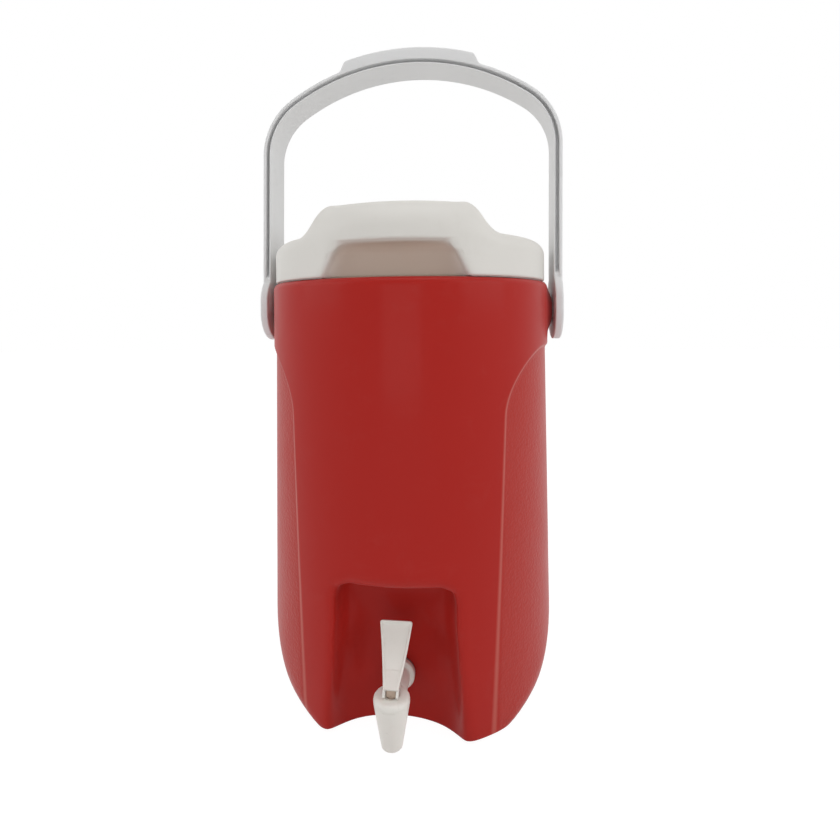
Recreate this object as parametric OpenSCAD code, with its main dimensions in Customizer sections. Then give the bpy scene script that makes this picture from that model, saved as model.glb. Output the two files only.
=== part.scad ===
// Insulated water cooler jug with a lift-off lid, a swinging bail and a lever tap.
// The origin is the centre of the base on the floor, +Z is up and the tap faces -Y. Millimetres.

/* [Body] */
// Outer radius of the body
body_r = 119; // [114:0.5:124]
// Height of the body from the floor to its rim
body_h = 326; // [315:1:345]
// Radius of the edge round the base
base_edge_r = 18; // [8:1:22]
// Radius of the edge round the rim
rim_edge_r = 5; // [2:0.5:6]
// Thickness of the outer wall
shell_wall = 4; // [3.5:0.5:5]

/* [Side panels] */
// Depth of the side panels at their top
panel_depth = 2; // [1:0.1:2.5]
// Depth of the side panels at the floor
panel_low_depth = 0.5; // [0.3:0.1:1]
// Distance from the rim down to the panels' top edge
panel_drop = 53; // [49:1:70]
// Half width of a panel below its top corners
panel_half_top = 86; // [75:1:92]
// Half width of a panel at the floor
panel_half_low = 97; // [90:1:102]
// Radius of the panels' top corners
panel_corner_r = 48; // [20:1:60]

/* [Tap alcove] */
// Half width of the alcove where it opens in the body
alcove_half_w = 45.6; // [40:0.2:50]
// Height of the alcove's ceiling
alcove_top = 110; // [100:1:125]
// Depth of the alcove from the body's front to its back wall
alcove_depth = 38.5; // [35:0.5:41]
// Slope of the alcove's side walls
alcove_draft = 14; // [5:1:20]
// Radius of the corners between the back and side walls
alcove_corner_r = 30; // [10:1:32]
// Radius of the ceiling's corners
alcove_top_r = 12; // [6:1:16]

/* [Inner pot] */
// Thickness of foam between the outer wall and the pot
foam_t = 14.5; // [12.5:0.5:18.5]
// Thickness of the pot's wall
liner_wall = 2.5; // [2:0.25:3]
// Height of the pot's floor
liner_floor = 16; // [15:0.5:17]
// Inside radius of the edge round the pot's floor
liner_edge_r = 5; // [3:0.5:12]
// Width of the flange that lies on the rim
flange_w = 11.5; // [8:0.5:12]
// Thickness of the flange on the rim
flange_t = 2.5; // [2:0.25:3]
// Thickness of foam between the alcove wall and the pot
front_foam = 4; // [3:0.5:6]
// Radius of the foam plug in the base
fill_plug_r = 9; // [6:0.5:12]
// Overlap of the foam plug's head round its hole
fill_plug_lip = 3; // [2:0.5:4]
// Distance of the foam plug behind the body's axis
fill_plug_back = 45; // [20:1:70]
// Depth of the foam plug's face above the floor
fill_plug_sink = 0.5; // [0.2:0.1:1.5]

/* [Lid] */
// Step from the body's side in to the lid's
lid_inset = 2; // [0:0.5:5]
// Gap between the rim and the lid's lower edge
lid_gap = 1; // [0.8:0.1:2]
// Height of the lid's shoulders above its lower edge
lid_shoulder_h = 38; // [34:1:42]
// Radius of the edge round the shoulders
lid_edge_r = 13; // [6:1:16]
// Height of the raised bar above the lid's lower edge
bar_h = 57; // [50:1:62]
// Radius of the edge at the bar's ends
bar_edge_r = 24; // [12:1:26]
// Half width of the bar's top, to the corners before rounding
bar_half_top = 56; // [48:1:60]
// Half width of the bar at the level of the shoulders
bar_half_low = 68; // [62:1:76]
// Radius of the bar's long edges
bar_long_r = 12; // [4:1:16]
// Thickness of the lid's cover
lid_wall = 2.5; // [2:0.25:3]
// Height of the finger recesses above the lid's lower edge
recess_h = 26; // [20:0.5:28]
// Half width of a finger recess at its top
recess_half_top = 40.5; // [30:0.5:43]
// Half width of a finger recess at its foot
recess_half_low = 52; // [44:0.5:56]
// Depth of a finger recess from the lid's outer radius
recess_depth = 20; // [12:0.5:21]
// Radius of a finger recess's top corners
recess_corner_r = 6; // [2:0.5:9]
// Depth of the plug below the rim
plug_depth = 22; // [16:1:28]
// Thickness of the plug's wall
plug_wall = 4.5; // [4:0.25:6]
// Gap between the plug and the pot
plug_gap = 0.7; // [0.5:0.1:1]
// Thickness of the lid's inner flange and the plug's floor
plug_floor = 2.5; // [2:0.25:3]
// Height of the gasket
gasket_h = 4; // [3:0.5:6]
// Depth of the gasket's groove in the plug
gasket_groove = 2.3; // [1.5:0.1:2.8]
// Distance from the rim down to the middle of the gasket
gasket_drop = 11; // [8:0.5:13]
// Turn of the lid about its axis
lid_turn = 1; // [-10:1:10]

/* [Bail] */
// Radius of the inside of the bail's crown
bail_crown_r = 171; // [150:1:190]
// Radius of the inside of the bail's corners
bail_corner_r = 58; // [45:1:70]
// Height of the crown's underside above the pivots
bail_rise = 214.5; // [200:0.5:230]
// Thickness of the bail's strap
bail_t = 7.2; // [6:0.2:9]
// Width of the strap from front to back
bail_depth = 33.6; // [28:0.2:40]
// Thickness of the strap's outer flange
bail_flange_out = 2.6; // [1.5:0.1:3]
// Thickness of the strap's inner flange
bail_flange_in = 1.8; // [1.2:0.1:2.4]
// Depth of the grooves in the strap's edges
bail_groove = 9; // [4:0.5:13]
// Height above the pivots at which the grooves start
bail_groove_start = 40; // [32:1:60]
// Radius of the ears
ear_r = 26.5; // [22:0.5:30]
// Thickness of the ears
ear_t = 7.6; // [7.2:0.1:11]
// Radius of the ears' outer edge
ear_edge_r = 1.5; // [0.5:0.1:2.5]
// Half length of the grip
grip_half = 58; // [45:1:70]
// Height of the grip above the strap
grip_t = 7.4; // [2:0.2:9]
// Length of the ramps at the grip's ends
grip_ramp = 9; // [4:0.5:14]

/* [Pivots] */
// Distance from the rim down to the pivots
pivot_drop = 23; // [18:0.5:35]
// Radius of the faces of the bosses that carry the bail
boss_r = 10.5; // [9.5:0.5:14]
// Radius of the bosses where they leave the body
boss_foot_r = 27.5; // [22:0.5:32]
// Distance from the rim down to the bosses' cut tops
boss_drop = 0.5; // [0.3:0.1:5]
// Height of the bosses' faces above the body's side
boss_stand = 4.2; // [3:0.1:8]
// Depth of the bosses' feet below the body's side
boss_sink = 3.6; // [3.2:0.1:4.5]
// Radius of the pivot pins
pin_r = 6; // [4:0.25:7]
// Radius of the pins' heads
pin_head_r = 11; // [9:0.5:13]
// Thickness of the pins' heads
pin_head_t = 2.5; // [2:0.25:3]
// Length of a pin inside its boss
pin_reach = 15; // [12:0.5:16]
// Wall round a pin inside the body
socket_wall = 5; // [3:0.5:7]

/* [Tap] */
// Distance of the barrel's axis from the alcove's back wall
tap_stand = 44; // [41.5:0.5:49]
// Height of the barrel's bonnet top
tap_top = 45; // [43:0.5:47]
// Radius of the barrel under the bonnet
barrel_r = 12.35; // [11.5:0.05:13]
// Outer radius of the spout's end
spout_r = 7.15; // [6.5:0.05:8]
// Height of the spout's end above the floor
spout_z = 11; // [8:0.5:12]
// Radius of the spout's bore
spout_bore_r = 4.4; // [3.5:0.1:5]
// Radius of the valve chamber
chamber_r = 7.5; // [7:0.1:8]
// Distance from the bonnet's top down to the valve seat
seat_drop = 20.5; // [19.5:0.5:22.5]
// Distance from the bonnet's top down to the shank's axis
shank_drop = 13; // [12:0.5:14]
// Outer radius of the shank
shank_r = 7.5; // [6.5:0.1:8]
// Radius of the shank's bore
shank_bore_r = 4; // [3:0.1:4.5]
// Radius of the tap's flange
tap_flange_r = 11; // [10:0.5:14]
// Thickness of the tap's flange
tap_flange_t = 4; // [3:0.5:5]
// Thickness of the two washers
washer_t = 1.5; // [1:0.25:2.5]
// Width of the nut across its flats
nut_flats = 24; // [20:0.5:25]
// Thickness of the nut
nut_t = 6; // [4:0.5:8]
// Length of shank that shows past the nut
shank_tail = 3; // [1:0.5:6]
// Height of the bonnet's rim
bonnet_t = 4.5; // [4:0.25:5.5]
// Radius of the bonnet's shoulder
bonnet_edge_r = 2; // [1:0.25:3]
// Depth of the bonnet's spigot in the chamber
bonnet_spigot = 2.5; // [2:0.25:3]
// Radius of the dish round the stem
dish_r = 5.5; // [4.5:0.25:6]
// Depth of the dish round the stem
dish_depth = 0.8; // [0.4:0.1:1.2]
// Thickness of the ring under the bonnet
bonnet_seal_t = 1.2; // [0.8:0.1:1.6]
// Radial width of the ring under the bonnet
bonnet_seal_w = 1.8; // [1.2:0.1:2.2]

/* [Valve and lever] */
// Radius of the valve stem
stem_r = 3.3; // [2.8:0.1:3.5]
// Height of the lever's pin above the bonnet
lever_pin_h = 3; // [2.8:0.1:4]
// Radius of the lever's pin
lever_pin_r = 1.2; // [0.9:0.1:1.4]
// Height of the stem above the lever's pin
stem_crown = 1.9; // [1.6:0.1:2.5]
// Radius of the valve plug
plug_r = 6.2; // [5.6:0.1:6.6]
// Thickness of the valve plug
plug_t = 4; // [3:0.25:4.5]
// Thickness of the stem's collar under the spring
collar_t = 1; // [0.8:0.1:1.5]
// Radius of the spring's wire
wire_r = 0.45; // [0.3:0.05:0.5]
// Radius to the middle of the spring's wire
spring_r = 4.9; // [4.5:0.1:5.2]
// Turns of the spring
spring_turns = 4; // [3:0.5:5]
// Lift of the valve
valve_lift = 3; // [2.5:0.1:3.2]
// Pull of the lever from rest
lever_pull = 50; // [40:1:55]
// Thickness of each fork arm
arm_t = 1.8; // [1.4:0.1:2.2]
// Gap between a fork arm and the stem
arm_gap = 0.4; // [0.3:0.05:0.6]
// Gap between the lever's heel and the bonnet
heel_gap = 0.5; // [0.4:0.05:0.8]
// Distance of the paddle's tip behind the pin
paddle_back = 23.5; // [18:0.5:26]
// Height of the paddle's tip above the pin
paddle_rise = 33; // [28:0.5:38]
// Thickness of the paddle
paddle_t = 3; // [2.5:0.1:4]
// Width of the paddle's tip
paddle_w_top = 24; // [18:0.5:25]
// Width of the paddle's foot
paddle_w_low = 10.8; // [10.5:0.1:13]
// Hollow of the paddle, as the height of its curve
paddle_bow = 4; // [2:0.25:6]
// Depth of the dish in the paddle's face
paddle_dish = 1; // [0.5:0.1:1.4]
// Width of the rim round the dish
paddle_rim = 1.6; // [1:0.1:2.4]

/* [Fits] */
// Gap between pieces that lie against each other
fit_gap = 0.2; // [0.15:0.05:0.3]
// Radial gap of pins and stems that run
run_gap = 0.08; // [0.05:0.01:0.1]
// Gap between pieces that move past each other
move_gap = 0.4; // [0.3:0.05:0.6]
// Gap between the rim and the lid's inner half
seat_gap = 0.3; // [0.2:0.05:0.5]

/* [Hidden] */
$fn = 96;
past = 1;
reach = 2 * body_r;
arc_steps = 10;
red = "#9c2a26";
white = "#e9e7e2";
cool_white = "#dddddb";
tan_rubber = "#8f7765";
dark_rubber = "#3a3a3a";
foam_colour = "#e8dcb4";
steel = "#b8bcc0";

// Body and pot
panel_top = body_h - panel_drop;
alcove_back = body_r - alcove_depth;
liner_r = body_r - shell_wall - foam_t - liner_wall;
alcove_mouth_y = sqrt(body_r * body_r - alcove_half_w * alcove_half_w);
liner_out_r = liner_r + liner_wall;
flange_r = liner_r + flange_w;
liner_grow = shell_wall + front_foam;
boss_face = body_r + boss_stand;
pivot_z = body_h - pivot_drop;
socket_r = pin_r + socket_wall;
socket_end = boss_face - pin_reach - socket_wall;

// Lid
lid_r = body_r - lid_inset;
lid_z = body_h + lid_gap;
plug_r_out = liner_r - plug_gap;
gasket_z = body_h - gasket_drop;
lid_inner_r = lid_r - lid_wall - fit_gap;

// Bail: half width between its legs, and centres of the crown and the corners above the pivots
bail_half_w = boss_face + move_gap;
crown_c = bail_rise - bail_crown_r;
corner_x = bail_half_w - bail_corner_r;
corner_c = crown_c + sqrt(pow(bail_crown_r - bail_corner_r, 2) - corner_x * corner_x);
crown_angle = asin(corner_x / (bail_crown_r - bail_corner_r));

// Tap: the wall stack from the alcove to the nut
tap_y = alcove_back + tap_stand;
seat_z = tap_top - seat_drop;
shank_z = tap_top - shank_drop;
wall_out = -alcove_back;
wall_in = wall_out + liner_grow + liner_wall;
flange_back = wall_out - washer_t - fit_gap;
nut_y = wall_in + washer_t + 2 * fit_gap;
barrel_top = tap_top - bonnet_t;
chamber_top = barrel_top - bonnet_spigot;
pin_z = tap_top + lever_pin_h;
plug_z = seat_z + fit_gap;
collar_z = plug_z + plug_t + fit_gap;
spring_low = collar_z + collar_t + wire_r;
spring_high = chamber_top - wire_r - fit_gap;
heel_r = lever_pin_h - heel_gap;
heel_throw = valve_lift / sin(lever_pull);

// Points of a closed outline, run anticlockwise, moved out by a distance
function edge_out(a, b) = let (d = b - a) [d[1], -d[0]] / norm(d);
function grown(points, g) = let (n = len(points)) [
    for (i = [0 : n - 1])
        let (before = edge_out(points[(i + n - 1) % n], points[i]),
             after = edge_out(points[i], points[(i + 1) % n]))
        points[i] + (before + after) * g / (1 + before * after)];

// Points of a closed outline with each corner rounded to its own radius
function corner_arc(p, u, v, r) =
    let (half = acos(u * v) / 2,
         centre = p + (u + v) / norm(u + v) * r / sin(half),
         start = p + u * r / tan(half) - centre,
         end = p + v * r / tan(half) - centre,
         from = atan2(start[1], start[0]),
         turn = (atan2(end[1], end[0]) - from + 900) % 360 - 180)
    [for (i = [0 : arc_steps])
        centre + r * [cos(from + turn * i / arc_steps), sin(from + turn * i / arc_steps)]];
function rounded(points, radii) = let (n = len(points)) [
    for (i = [0 : n - 1])
        let (p = points[i],
             back = points[(i + n - 1) % n] - p,
             on = points[(i + 1) % n] - p)
        each radii[i] > 0 ? corner_arc(p, back / norm(back), on / norm(on), radii[i]) : [p]];

// A round block standing on the floor, with its lower and upper edges rounded
module round_block(r, h, low_r, high_r) {
    rotate_extrude() {
        square([r - max(low_r, high_r), h]);
        translate([0, low_r]) square([r, h - low_r - high_r]);
        if (low_r > 0) {
            square([r - low_r, h / 2]);
            intersection() {
                translate([r - low_r, low_r]) circle(low_r);
                square([r, low_r]);
            }
        }
        if (high_r > 0) {
            translate([0, h / 2]) square([r - high_r, h / 2]);
            intersection() {
                translate([r - high_r, h - high_r]) circle(high_r);
                translate([0, h - high_r]) square([r, high_r]);
            }
        }
    }
}

module ring(r_in, r_out, h) {
    difference() {
        cylinder(r = r_out, h = h);
        translate([0, 0, -past]) cylinder(r = r_in, h = h + 2 * past);
    }
}

// Lay a solid that stands on Z along X, or along Y
module along_x(x) { translate([x, 0, 0]) rotate([0, 90, 0]) children(); }
module along_y(y) { translate([0, y, 0]) rotate([-90, 0, 0]) children(); }

// Extrude an outline drawn in the XZ plane along Y, and one drawn in the YZ plane along X
module prism_y(y, length) { translate([0, y + length, 0]) rotate([90, 0, 0]) linear_extrude(length) children(); }
module prism_x(x, length) {
    translate([x, 0, 0]) rotate([90, 0, 90]) linear_extrude(length) children();
}

module both_sides() {
    children();
    mirror([1, 0, 0]) children();
}

module front_and_back() {
    children();
    mirror([0, 1, 0]) children();
}

// The body's outside, moved in by a wall
module body_form(inset) {
    translate([0, 0, inset])
        round_block(body_r - inset, body_h - 2 * inset, base_edge_r - inset, max(rim_edge_r - inset, 1));
}

// The space of the alcove, grown by the walls round it
module alcove_space(grow) {
    side = tan(alcove_draft);
    front_x = alcove_half_w + (reach - alcove_mouth_y) * side;
    back_x = alcove_half_w - (alcove_mouth_y - alcove_back) * side;
    plan = grown([[-front_x, -reach], [front_x, -reach], [back_x, -alcove_back], [-back_x, -alcove_back]], grow);
    corner = alcove_corner_r + grow;
    face_x = alcove_half_w + grow;
    intersection() {
        translate([0, 0, -past])
            linear_extrude(alcove_top + grow + past) polygon(rounded(plan, [0, 0, corner, corner]));
        prism_y(-reach, reach)
            polygon(rounded([[-face_x, -2 * past], [face_x, -2 * past],
                             [face_x, alcove_top + grow], [-face_x, alcove_top + grow]],
                            [0, 0, alcove_top_r, alcove_top_r]));
    }
}

// The thin layer cut from the body's sides to leave the panels
module panel_space() {
    outline = rounded([[-panel_half_low, -past], [panel_half_low, -past],
                       [panel_half_top, panel_top], [-panel_half_top, panel_top]],
                      [0, 0, panel_corner_r, panel_corner_r]);
    intersection() {
        rotate_extrude() polygon([[body_r - panel_low_depth, base_edge_r], [body_r + past, base_edge_r],
                                  [body_r + past, panel_top + past], [body_r - panel_depth, panel_top + past]]);
        prism_x(-reach, 2 * reach) polygon(outline);
    }
}

module boss() {
    intersection() {
        translate([0, 0, pivot_z]) along_x(body_r - boss_sink)
            cylinder(r1 = boss_foot_r, r2 = boss_r, h = boss_stand + boss_sink);
        cylinder(r = reach, h = body_h - boss_drop);
    }
}

module socket(grow) {
    translate([0, 0, pivot_z]) along_x(socket_end - grow)
        cylinder(r = socket_r + grow, h = body_r - socket_end);
}

module shank_hole(gap) {
    translate([0, 0, shank_z]) along_y(-reach) cylinder(r = shank_r + gap, h = reach);
}

module outer_shell() color(red) {
    difference() {
        union() {
            difference() {
                union() {
                    difference() {
                        body_form(0);
                        panel_space();
                    }
                    both_sides() boss();
                }
                alcove_space(0);
                difference() {
                    body_form(shell_wall);
                    alcove_space(shell_wall);
                }
            }
            both_sides() intersection() {
                socket(0);
                body_form(shell_wall / 2);
            }
        }
        translate([0, 0, body_h - 2 * shell_wall]) cylinder(r = liner_out_r + fit_gap, h = 3 * shell_wall);
        translate([0, 0, body_h - flange_t - fit_gap]) cylinder(r = flange_r + fit_gap, h = 2 * flange_t);
        both_sides() translate([0, 0, pivot_z]) along_x(boss_face - pin_reach - fit_gap)
            cylinder(r = pin_r + run_gap, h = 2 * pin_reach);
        translate([0, fill_plug_back, -past]) cylinder(r = fill_plug_r + fit_gap, h = 2 * shell_wall);
        shank_hole(fit_gap);
    }
}

// The pot's outside or inside, without its flange
module liner_form(inset, top) {
    translate([0, 0, liner_floor - liner_wall + inset]) difference() {
        round_block(liner_out_r - inset, top - liner_floor + liner_wall - inset,
                    liner_edge_r + liner_wall - inset, 0);
        translate([0, 0, -(liner_floor - liner_wall + inset)]) alcove_space(liner_grow + inset);
    }
}

module foam_fill() color(foam_colour) {
    skin = shell_wall + fit_gap;
    difference() {
        body_form(skin);
        alcove_space(skin);
        translate([0, 0, -fit_gap]) liner_form(-fit_gap, body_h + past);
        both_sides() socket(fit_gap);
        shank_hole(2 * fit_gap);
        translate([0, fill_plug_back, 0])
            cylinder(r = fill_plug_r + fill_plug_lip + fit_gap, h = shell_wall + fill_plug_lip + 2 * fit_gap);
    }
}

module inner_liner() color(white) {
    difference() {
        union() {
            liner_form(0, body_h);
            translate([0, 0, body_h - flange_t]) cylinder(r = flange_r, h = flange_t);
        }
        liner_form(liner_wall, body_h + 2 * liner_wall);
        shank_hole(fit_gap);
    }
}

module fill_plug() color(red) {
    translate([0, fill_plug_back, 0]) {
        translate([0, 0, fill_plug_sink]) cylinder(r = fill_plug_r, h = shell_wall - fill_plug_sink + past);
        translate([0, 0, shell_wall + fit_gap])
            cylinder(r = fill_plug_r + fill_plug_lip, h = fill_plug_lip - fit_gap);
    }
}

module pivot_pin() color(cool_white) {
    head_x = bail_half_w + ear_t - pin_head_t;
    translate([0, 0, pivot_z]) {
        along_x(boss_face - pin_reach) cylinder(r = pin_r, h = head_x + past - boss_face + pin_reach);
        along_x(head_x) round_block(pin_head_r, pin_head_t, 0, pin_head_t / 3);
    }
}
module pivot_pin_left() { mirror([1, 0, 0]) pivot_pin(); }
module pivot_pin_right() { pivot_pin(); }

module tap_body() color(white) {
    difference() {
        union() {
            translate([0, -tap_y, 0]) rotate_extrude()
                polygon([[0, spout_z], [spout_r, spout_z], [barrel_r, barrel_top], [0, barrel_top]]);
            translate([0, 0, shank_z]) along_y(-tap_y) cylinder(r = shank_r, h = nut_y + nut_t + shank_tail + tap_y);
            translate([0, 0, shank_z]) along_y(flange_back - tap_flange_t)
                round_block(tap_flange_r, tap_flange_t, tap_flange_t / 4, 0);
        }
        translate([0, -tap_y, barrel_top]) cylinder(r = barrel_r + fit_gap, h = tap_top);
        translate([0, -tap_y, seat_z]) cylinder(r = chamber_r, h = tap_top);
        translate([0, -tap_y, 0]) cylinder(r = spout_bore_r, h = seat_z + past);
        translate([0, 0, shank_z]) along_y(-tap_y) cylinder(r = shank_bore_r, h = tap_y);
        translate([0, -tap_y, barrel_top - bonnet_seal_t - fit_gap])
            ring(chamber_r - past, chamber_r + bonnet_seal_w + 2 * fit_gap, bonnet_seal_t + fit_gap + past);
    }
}

module washer(y) {
    translate([0, 0, shank_z]) along_y(y) ring(shank_r + fit_gap, tap_flange_r, washer_t);
}
module flange_washer() color(dark_rubber) { washer(wall_out - washer_t - fit_gap / 2); }
module inner_washer() color(dark_rubber) { washer(wall_in + fit_gap); }

module shank_nut() color(white) {
    translate([0, 0, shank_z]) along_y(nut_y) difference() {
        rotate([0, 0, 30]) cylinder(d = nut_flats / cos(30), h = nut_t, $fn = 6);
        translate([0, 0, -past]) cylinder(r = shank_r + run_gap, h = nut_t + 2 * past);
    }
}

module tap_bonnet() color(white) {
    translate([0, -tap_y, 0]) difference() {
        union() {
            translate([0, 0, barrel_top + fit_gap]) round_block(barrel_r, bonnet_t - fit_gap, 0, bonnet_edge_r);
            translate([0, 0, chamber_top]) cylinder(r = chamber_r - fit_gap, h = bonnet_t);
        }
        translate([0, 0, seat_z]) cylinder(r = stem_r + run_gap, h = tap_top);
        translate([0, 0, tap_top - dish_depth]) cylinder(r = dish_r, h = dish_depth + past);
    }
}

module bonnet_seal() color(dark_rubber) {
    translate([0, -tap_y, barrel_top - bonnet_seal_t])
        ring(chamber_r + fit_gap, chamber_r + fit_gap + bonnet_seal_w, bonnet_seal_t);
}

module valve_stem() color(tan_rubber) {
    stem_low = plug_z + plug_t / 2 + fit_gap;
    difference() {
        translate([0, -tap_y, 0]) {
            translate([0, 0, stem_low]) round_block(stem_r, pin_z + stem_crown - stem_low, 0, stem_r / 3);
            translate([0, 0, collar_z]) cylinder(r = spring_r + wire_r, h = collar_t);
        }
        translate([0, -tap_y, pin_z]) along_x(-reach) cylinder(r = lever_pin_r + run_gap, h = 2 * reach);
    }
}

module valve_plug() color(dark_rubber) {
    translate([0, -tap_y, plug_z]) difference() {
        round_block(plug_r, plug_t, plug_t / 4, 0);
        translate([0, 0, plug_t / 2]) cylinder(r = stem_r + run_gap, h = plug_t);
    }
}

// A coil of round wire, swept as one tube of six sides
wire_sides = 6;
coil_steps = 8 * spring_turns;
function coil_point(step, side) =
    let (turn = 360 * spring_turns * step / coil_steps,
         rise = spring_low + (spring_high - spring_low) * step / coil_steps,
         round = 360 * side / wire_sides,
         r = spring_r + wire_r * cos(round))
    [r * cos(turn), r * sin(turn), rise + wire_r * sin(round)];
module stem_spring() color(steel) {
    last = coil_steps * wire_sides;
    points = [for (step = [0 : coil_steps]) for (side = [0 : wire_sides - 1]) coil_point(step, side)];
    walls = [for (step = [0 : coil_steps - 1]) for (side = [0 : wire_sides - 1])
        let (a = step * wire_sides + side,
             b = step * wire_sides + (side + 1) % wire_sides)
        each [[a, a + wire_sides, b], [b, a + wire_sides, b + wire_sides]]];
    low_end = [for (side = [1 : wire_sides - 2]) [0, side, side + 1]];
    high_end = [for (side = [1 : wire_sides - 2]) [last, last + side + 1, last + side]];
    translate([0, -tap_y, 0]) polyhedron(points, concat(walls, low_end, high_end));
}

arm_in = stem_r + arm_gap;
arm_out = arm_in + arm_t;
module lever_pin() color(steel) {
    translate([0, -tap_y, pin_z]) along_x(-arm_out) cylinder(r = lever_pin_r, h = 2 * arm_out);
}

// The paddle seen from the side: an arc band from the pin up to its tip
function paddle_curve(off) =
    let (chord = [paddle_back, paddle_rise],
         half = norm(chord) / 2,
         r = (half * half + paddle_bow * paddle_bow) / (2 * paddle_bow),
         across = [-chord[1], chord[0]] / norm(chord),
         centre = chord / 2 + across * (r - paddle_bow),
         from = atan2(-centre[1], -centre[0]),
         end = chord - centre,
         turn = (atan2(end[1], end[0]) - from + 900) % 360 - 180)
    [for (i = [0 : arc_steps])
        centre + (r + off) * [cos(from + turn * i / arc_steps), sin(from + turn * i / arc_steps)]];
module paddle_band(low, high) {
    inner = paddle_curve(low);
    outer = paddle_curve(high);
    translate([-tap_y, pin_z])
        polygon(concat(inner, [for (i = [arc_steps : -1 : 0]) outer[i]]));
}
module paddle_face(inset) {
    foot = pin_z + stem_crown + move_gap + inset;
    tip = pin_z + paddle_rise + paddle_t - inset;
    low = paddle_w_low / 2 - inset;
    high = paddle_w_top / 2 - inset;
    corner = paddle_t - inset;
    prism_y(-reach, reach)
        polygon(rounded([[-low, foot], [low, foot], [high, tip], [-high, tip]], [0, 0, corner, corner]));
}

// One arm of the fork: the heel that lifts the valve, the eye round the pin and the link to the paddle
module fork_arm() {
    eye_top = stem_crown + paddle_t;
    translate([arm_in, -tap_y, pin_z]) {
        along_x(0) cylinder(r = heel_r, h = arm_t);
        translate([0, -heel_throw, 0]) along_x(0) cylinder(r = heel_r, h = arm_t);
        translate([0, -heel_throw, -heel_r]) cube([arm_t, heel_throw, 2 * heel_r]);
    }
    intersection() {
        prism_x(arm_in, arm_t) paddle_band(0, paddle_t);
        translate([0, -reach, pin_z]) cube([reach, reach, eye_top]);
    }
}

module tap_lever() color(white) {
    difference() {
        union() {
            intersection() {
                prism_x(-reach, 2 * reach) paddle_band(0, paddle_t);
                paddle_face(0);
            }
            both_sides() fork_arm();
        }
        intersection() {
            prism_x(-reach, 2 * reach) paddle_band(-paddle_t, paddle_dish);
            paddle_face(paddle_rim);
        }
        translate([0, -tap_y, pin_z]) along_x(-reach) cylinder(r = lever_pin_r + run_gap, h = 2 * reach);
    }
}

// The bail's inside line, moved out by a distance, from the right leg round to the left one
function bail_right(off, foot) = concat(
    [[bail_half_w + off, foot]],
    [for (i = [0 : arc_steps]) let (a = 90 - (90 - crown_angle) * i / arc_steps)
        [corner_x + (bail_corner_r + off) * sin(a), corner_c + (bail_corner_r + off) * cos(a)]],
    [for (i = [1 : 2 * arc_steps]) let (a = crown_angle * (1 - i / (2 * arc_steps)))
        [(bail_crown_r + off) * sin(a), crown_c + (bail_crown_r + off) * cos(a)]]);
function bail_line(off, foot) = let (right = bail_right(off, foot), n = len(right)) concat(
    right, [for (i = [n - 2 : -1 : 0]) [-right[i][0], right[i][1]]]);
module bail_band(low, high, foot) {
    inner = bail_line(low, foot);
    outer = bail_line(high, foot);
    n = len(inner);
    translate([0, pivot_z]) polygon(concat(outer, [for (i = [n - 1 : -1 : 0]) inner[i]]));
}

// The grip stands on the outside of the crown, with a smooth ramp at each end
function ease(t) = t * t * (3 - 2 * t);
module grip_outline() {
    r = bail_crown_r + bail_t;
    half = asin(grip_half / r);
    steps = 8 * arc_steps;
    angles = [for (i = [0 : steps]) half * (1 - 2 * i / steps)];
    rise = [for (a = angles) grip_t * ease(min(1, (grip_half - abs(r * sin(a))) / grip_ramp))];
    top = [for (i = [0 : steps]) (r + rise[i]) * [sin(angles[i]), cos(angles[i])]];
    foot = [for (a = [-half, 0, half]) (r - bail_flange_out / 2) * [sin(a), cos(a)]];
    translate([0, pivot_z + crown_c]) polygon(concat(top, foot));
}

module bail_handle() color(cool_white) {
    half = bail_depth / 2;
    difference() {
        union() {
            prism_y(-half, bail_depth) bail_band(0, bail_t, 0);
            prism_y(-half, bail_depth) grip_outline();
            both_sides() translate([0, 0, pivot_z]) along_x(bail_half_w) round_block(ear_r, ear_t, 0, ear_edge_r);
        }
        front_and_back() prism_y(-half - past, bail_groove + past)
            bail_band(bail_flange_in, bail_t - bail_flange_out, bail_groove_start);
        both_sides() translate([0, 0, pivot_z]) {
            along_x(bail_half_w - past) cylinder(r = pin_r + run_gap, h = ear_t + 2 * past);
            along_x(bail_half_w + ear_t - pin_head_t - move_gap) cylinder(r = pin_head_r + move_gap, h = 2 * pin_head_t);
        }
    }
}

module lid_turned() { rotate([0, 0, lid_turn]) children(); }

// The lid's outside, moved in by a wall, with the bar that runs from front to back
module lid_form(inset) {
    bar = grown([[-bar_half_low, 0], [bar_half_low, 0], [bar_half_low, lid_shoulder_h],
                 [bar_half_top, bar_h], [-bar_half_top, bar_h], [-bar_half_low, lid_shoulder_h]], -inset);
    edge = bar_long_r - inset;
    translate([0, 0, lid_z]) {
        round_block(lid_r - inset, lid_shoulder_h - inset, 0, lid_edge_r - inset);
        intersection() {
            round_block(lid_r - inset, bar_h - inset, 0, bar_edge_r - inset);
            prism_y(-reach, 2 * reach) polygon(rounded(bar, [0, 0, 0, edge, edge, 0]));
        }
    }
}

module recess_space(grow) {
    outline = grown([[-recess_half_low, 0], [recess_half_low, 0],
                     [recess_half_top, recess_h], [-recess_half_top, recess_h]], grow);
    corner = recess_corner_r + grow;
    translate([0, 0, lid_z]) front_and_back()
        prism_y(-reach, reach - lid_r + recess_depth + grow)
            polygon(rounded(concat([for (p = [0, 1]) outline[p] - [0, 3 * past]], [outline[2], outline[3]]),
                            [0, 0, corner, corner]));
}

module lid_cover() color(white) lid_turned() {
    difference() {
        lid_form(0);
        recess_space(0);
        difference() {
            union() {
                lid_form(lid_wall);
                translate([0, 0, lid_z - past]) cylinder(r = lid_r - lid_wall, h = 2 * past);
            }
            recess_space(lid_wall);
        }
    }
}

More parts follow.
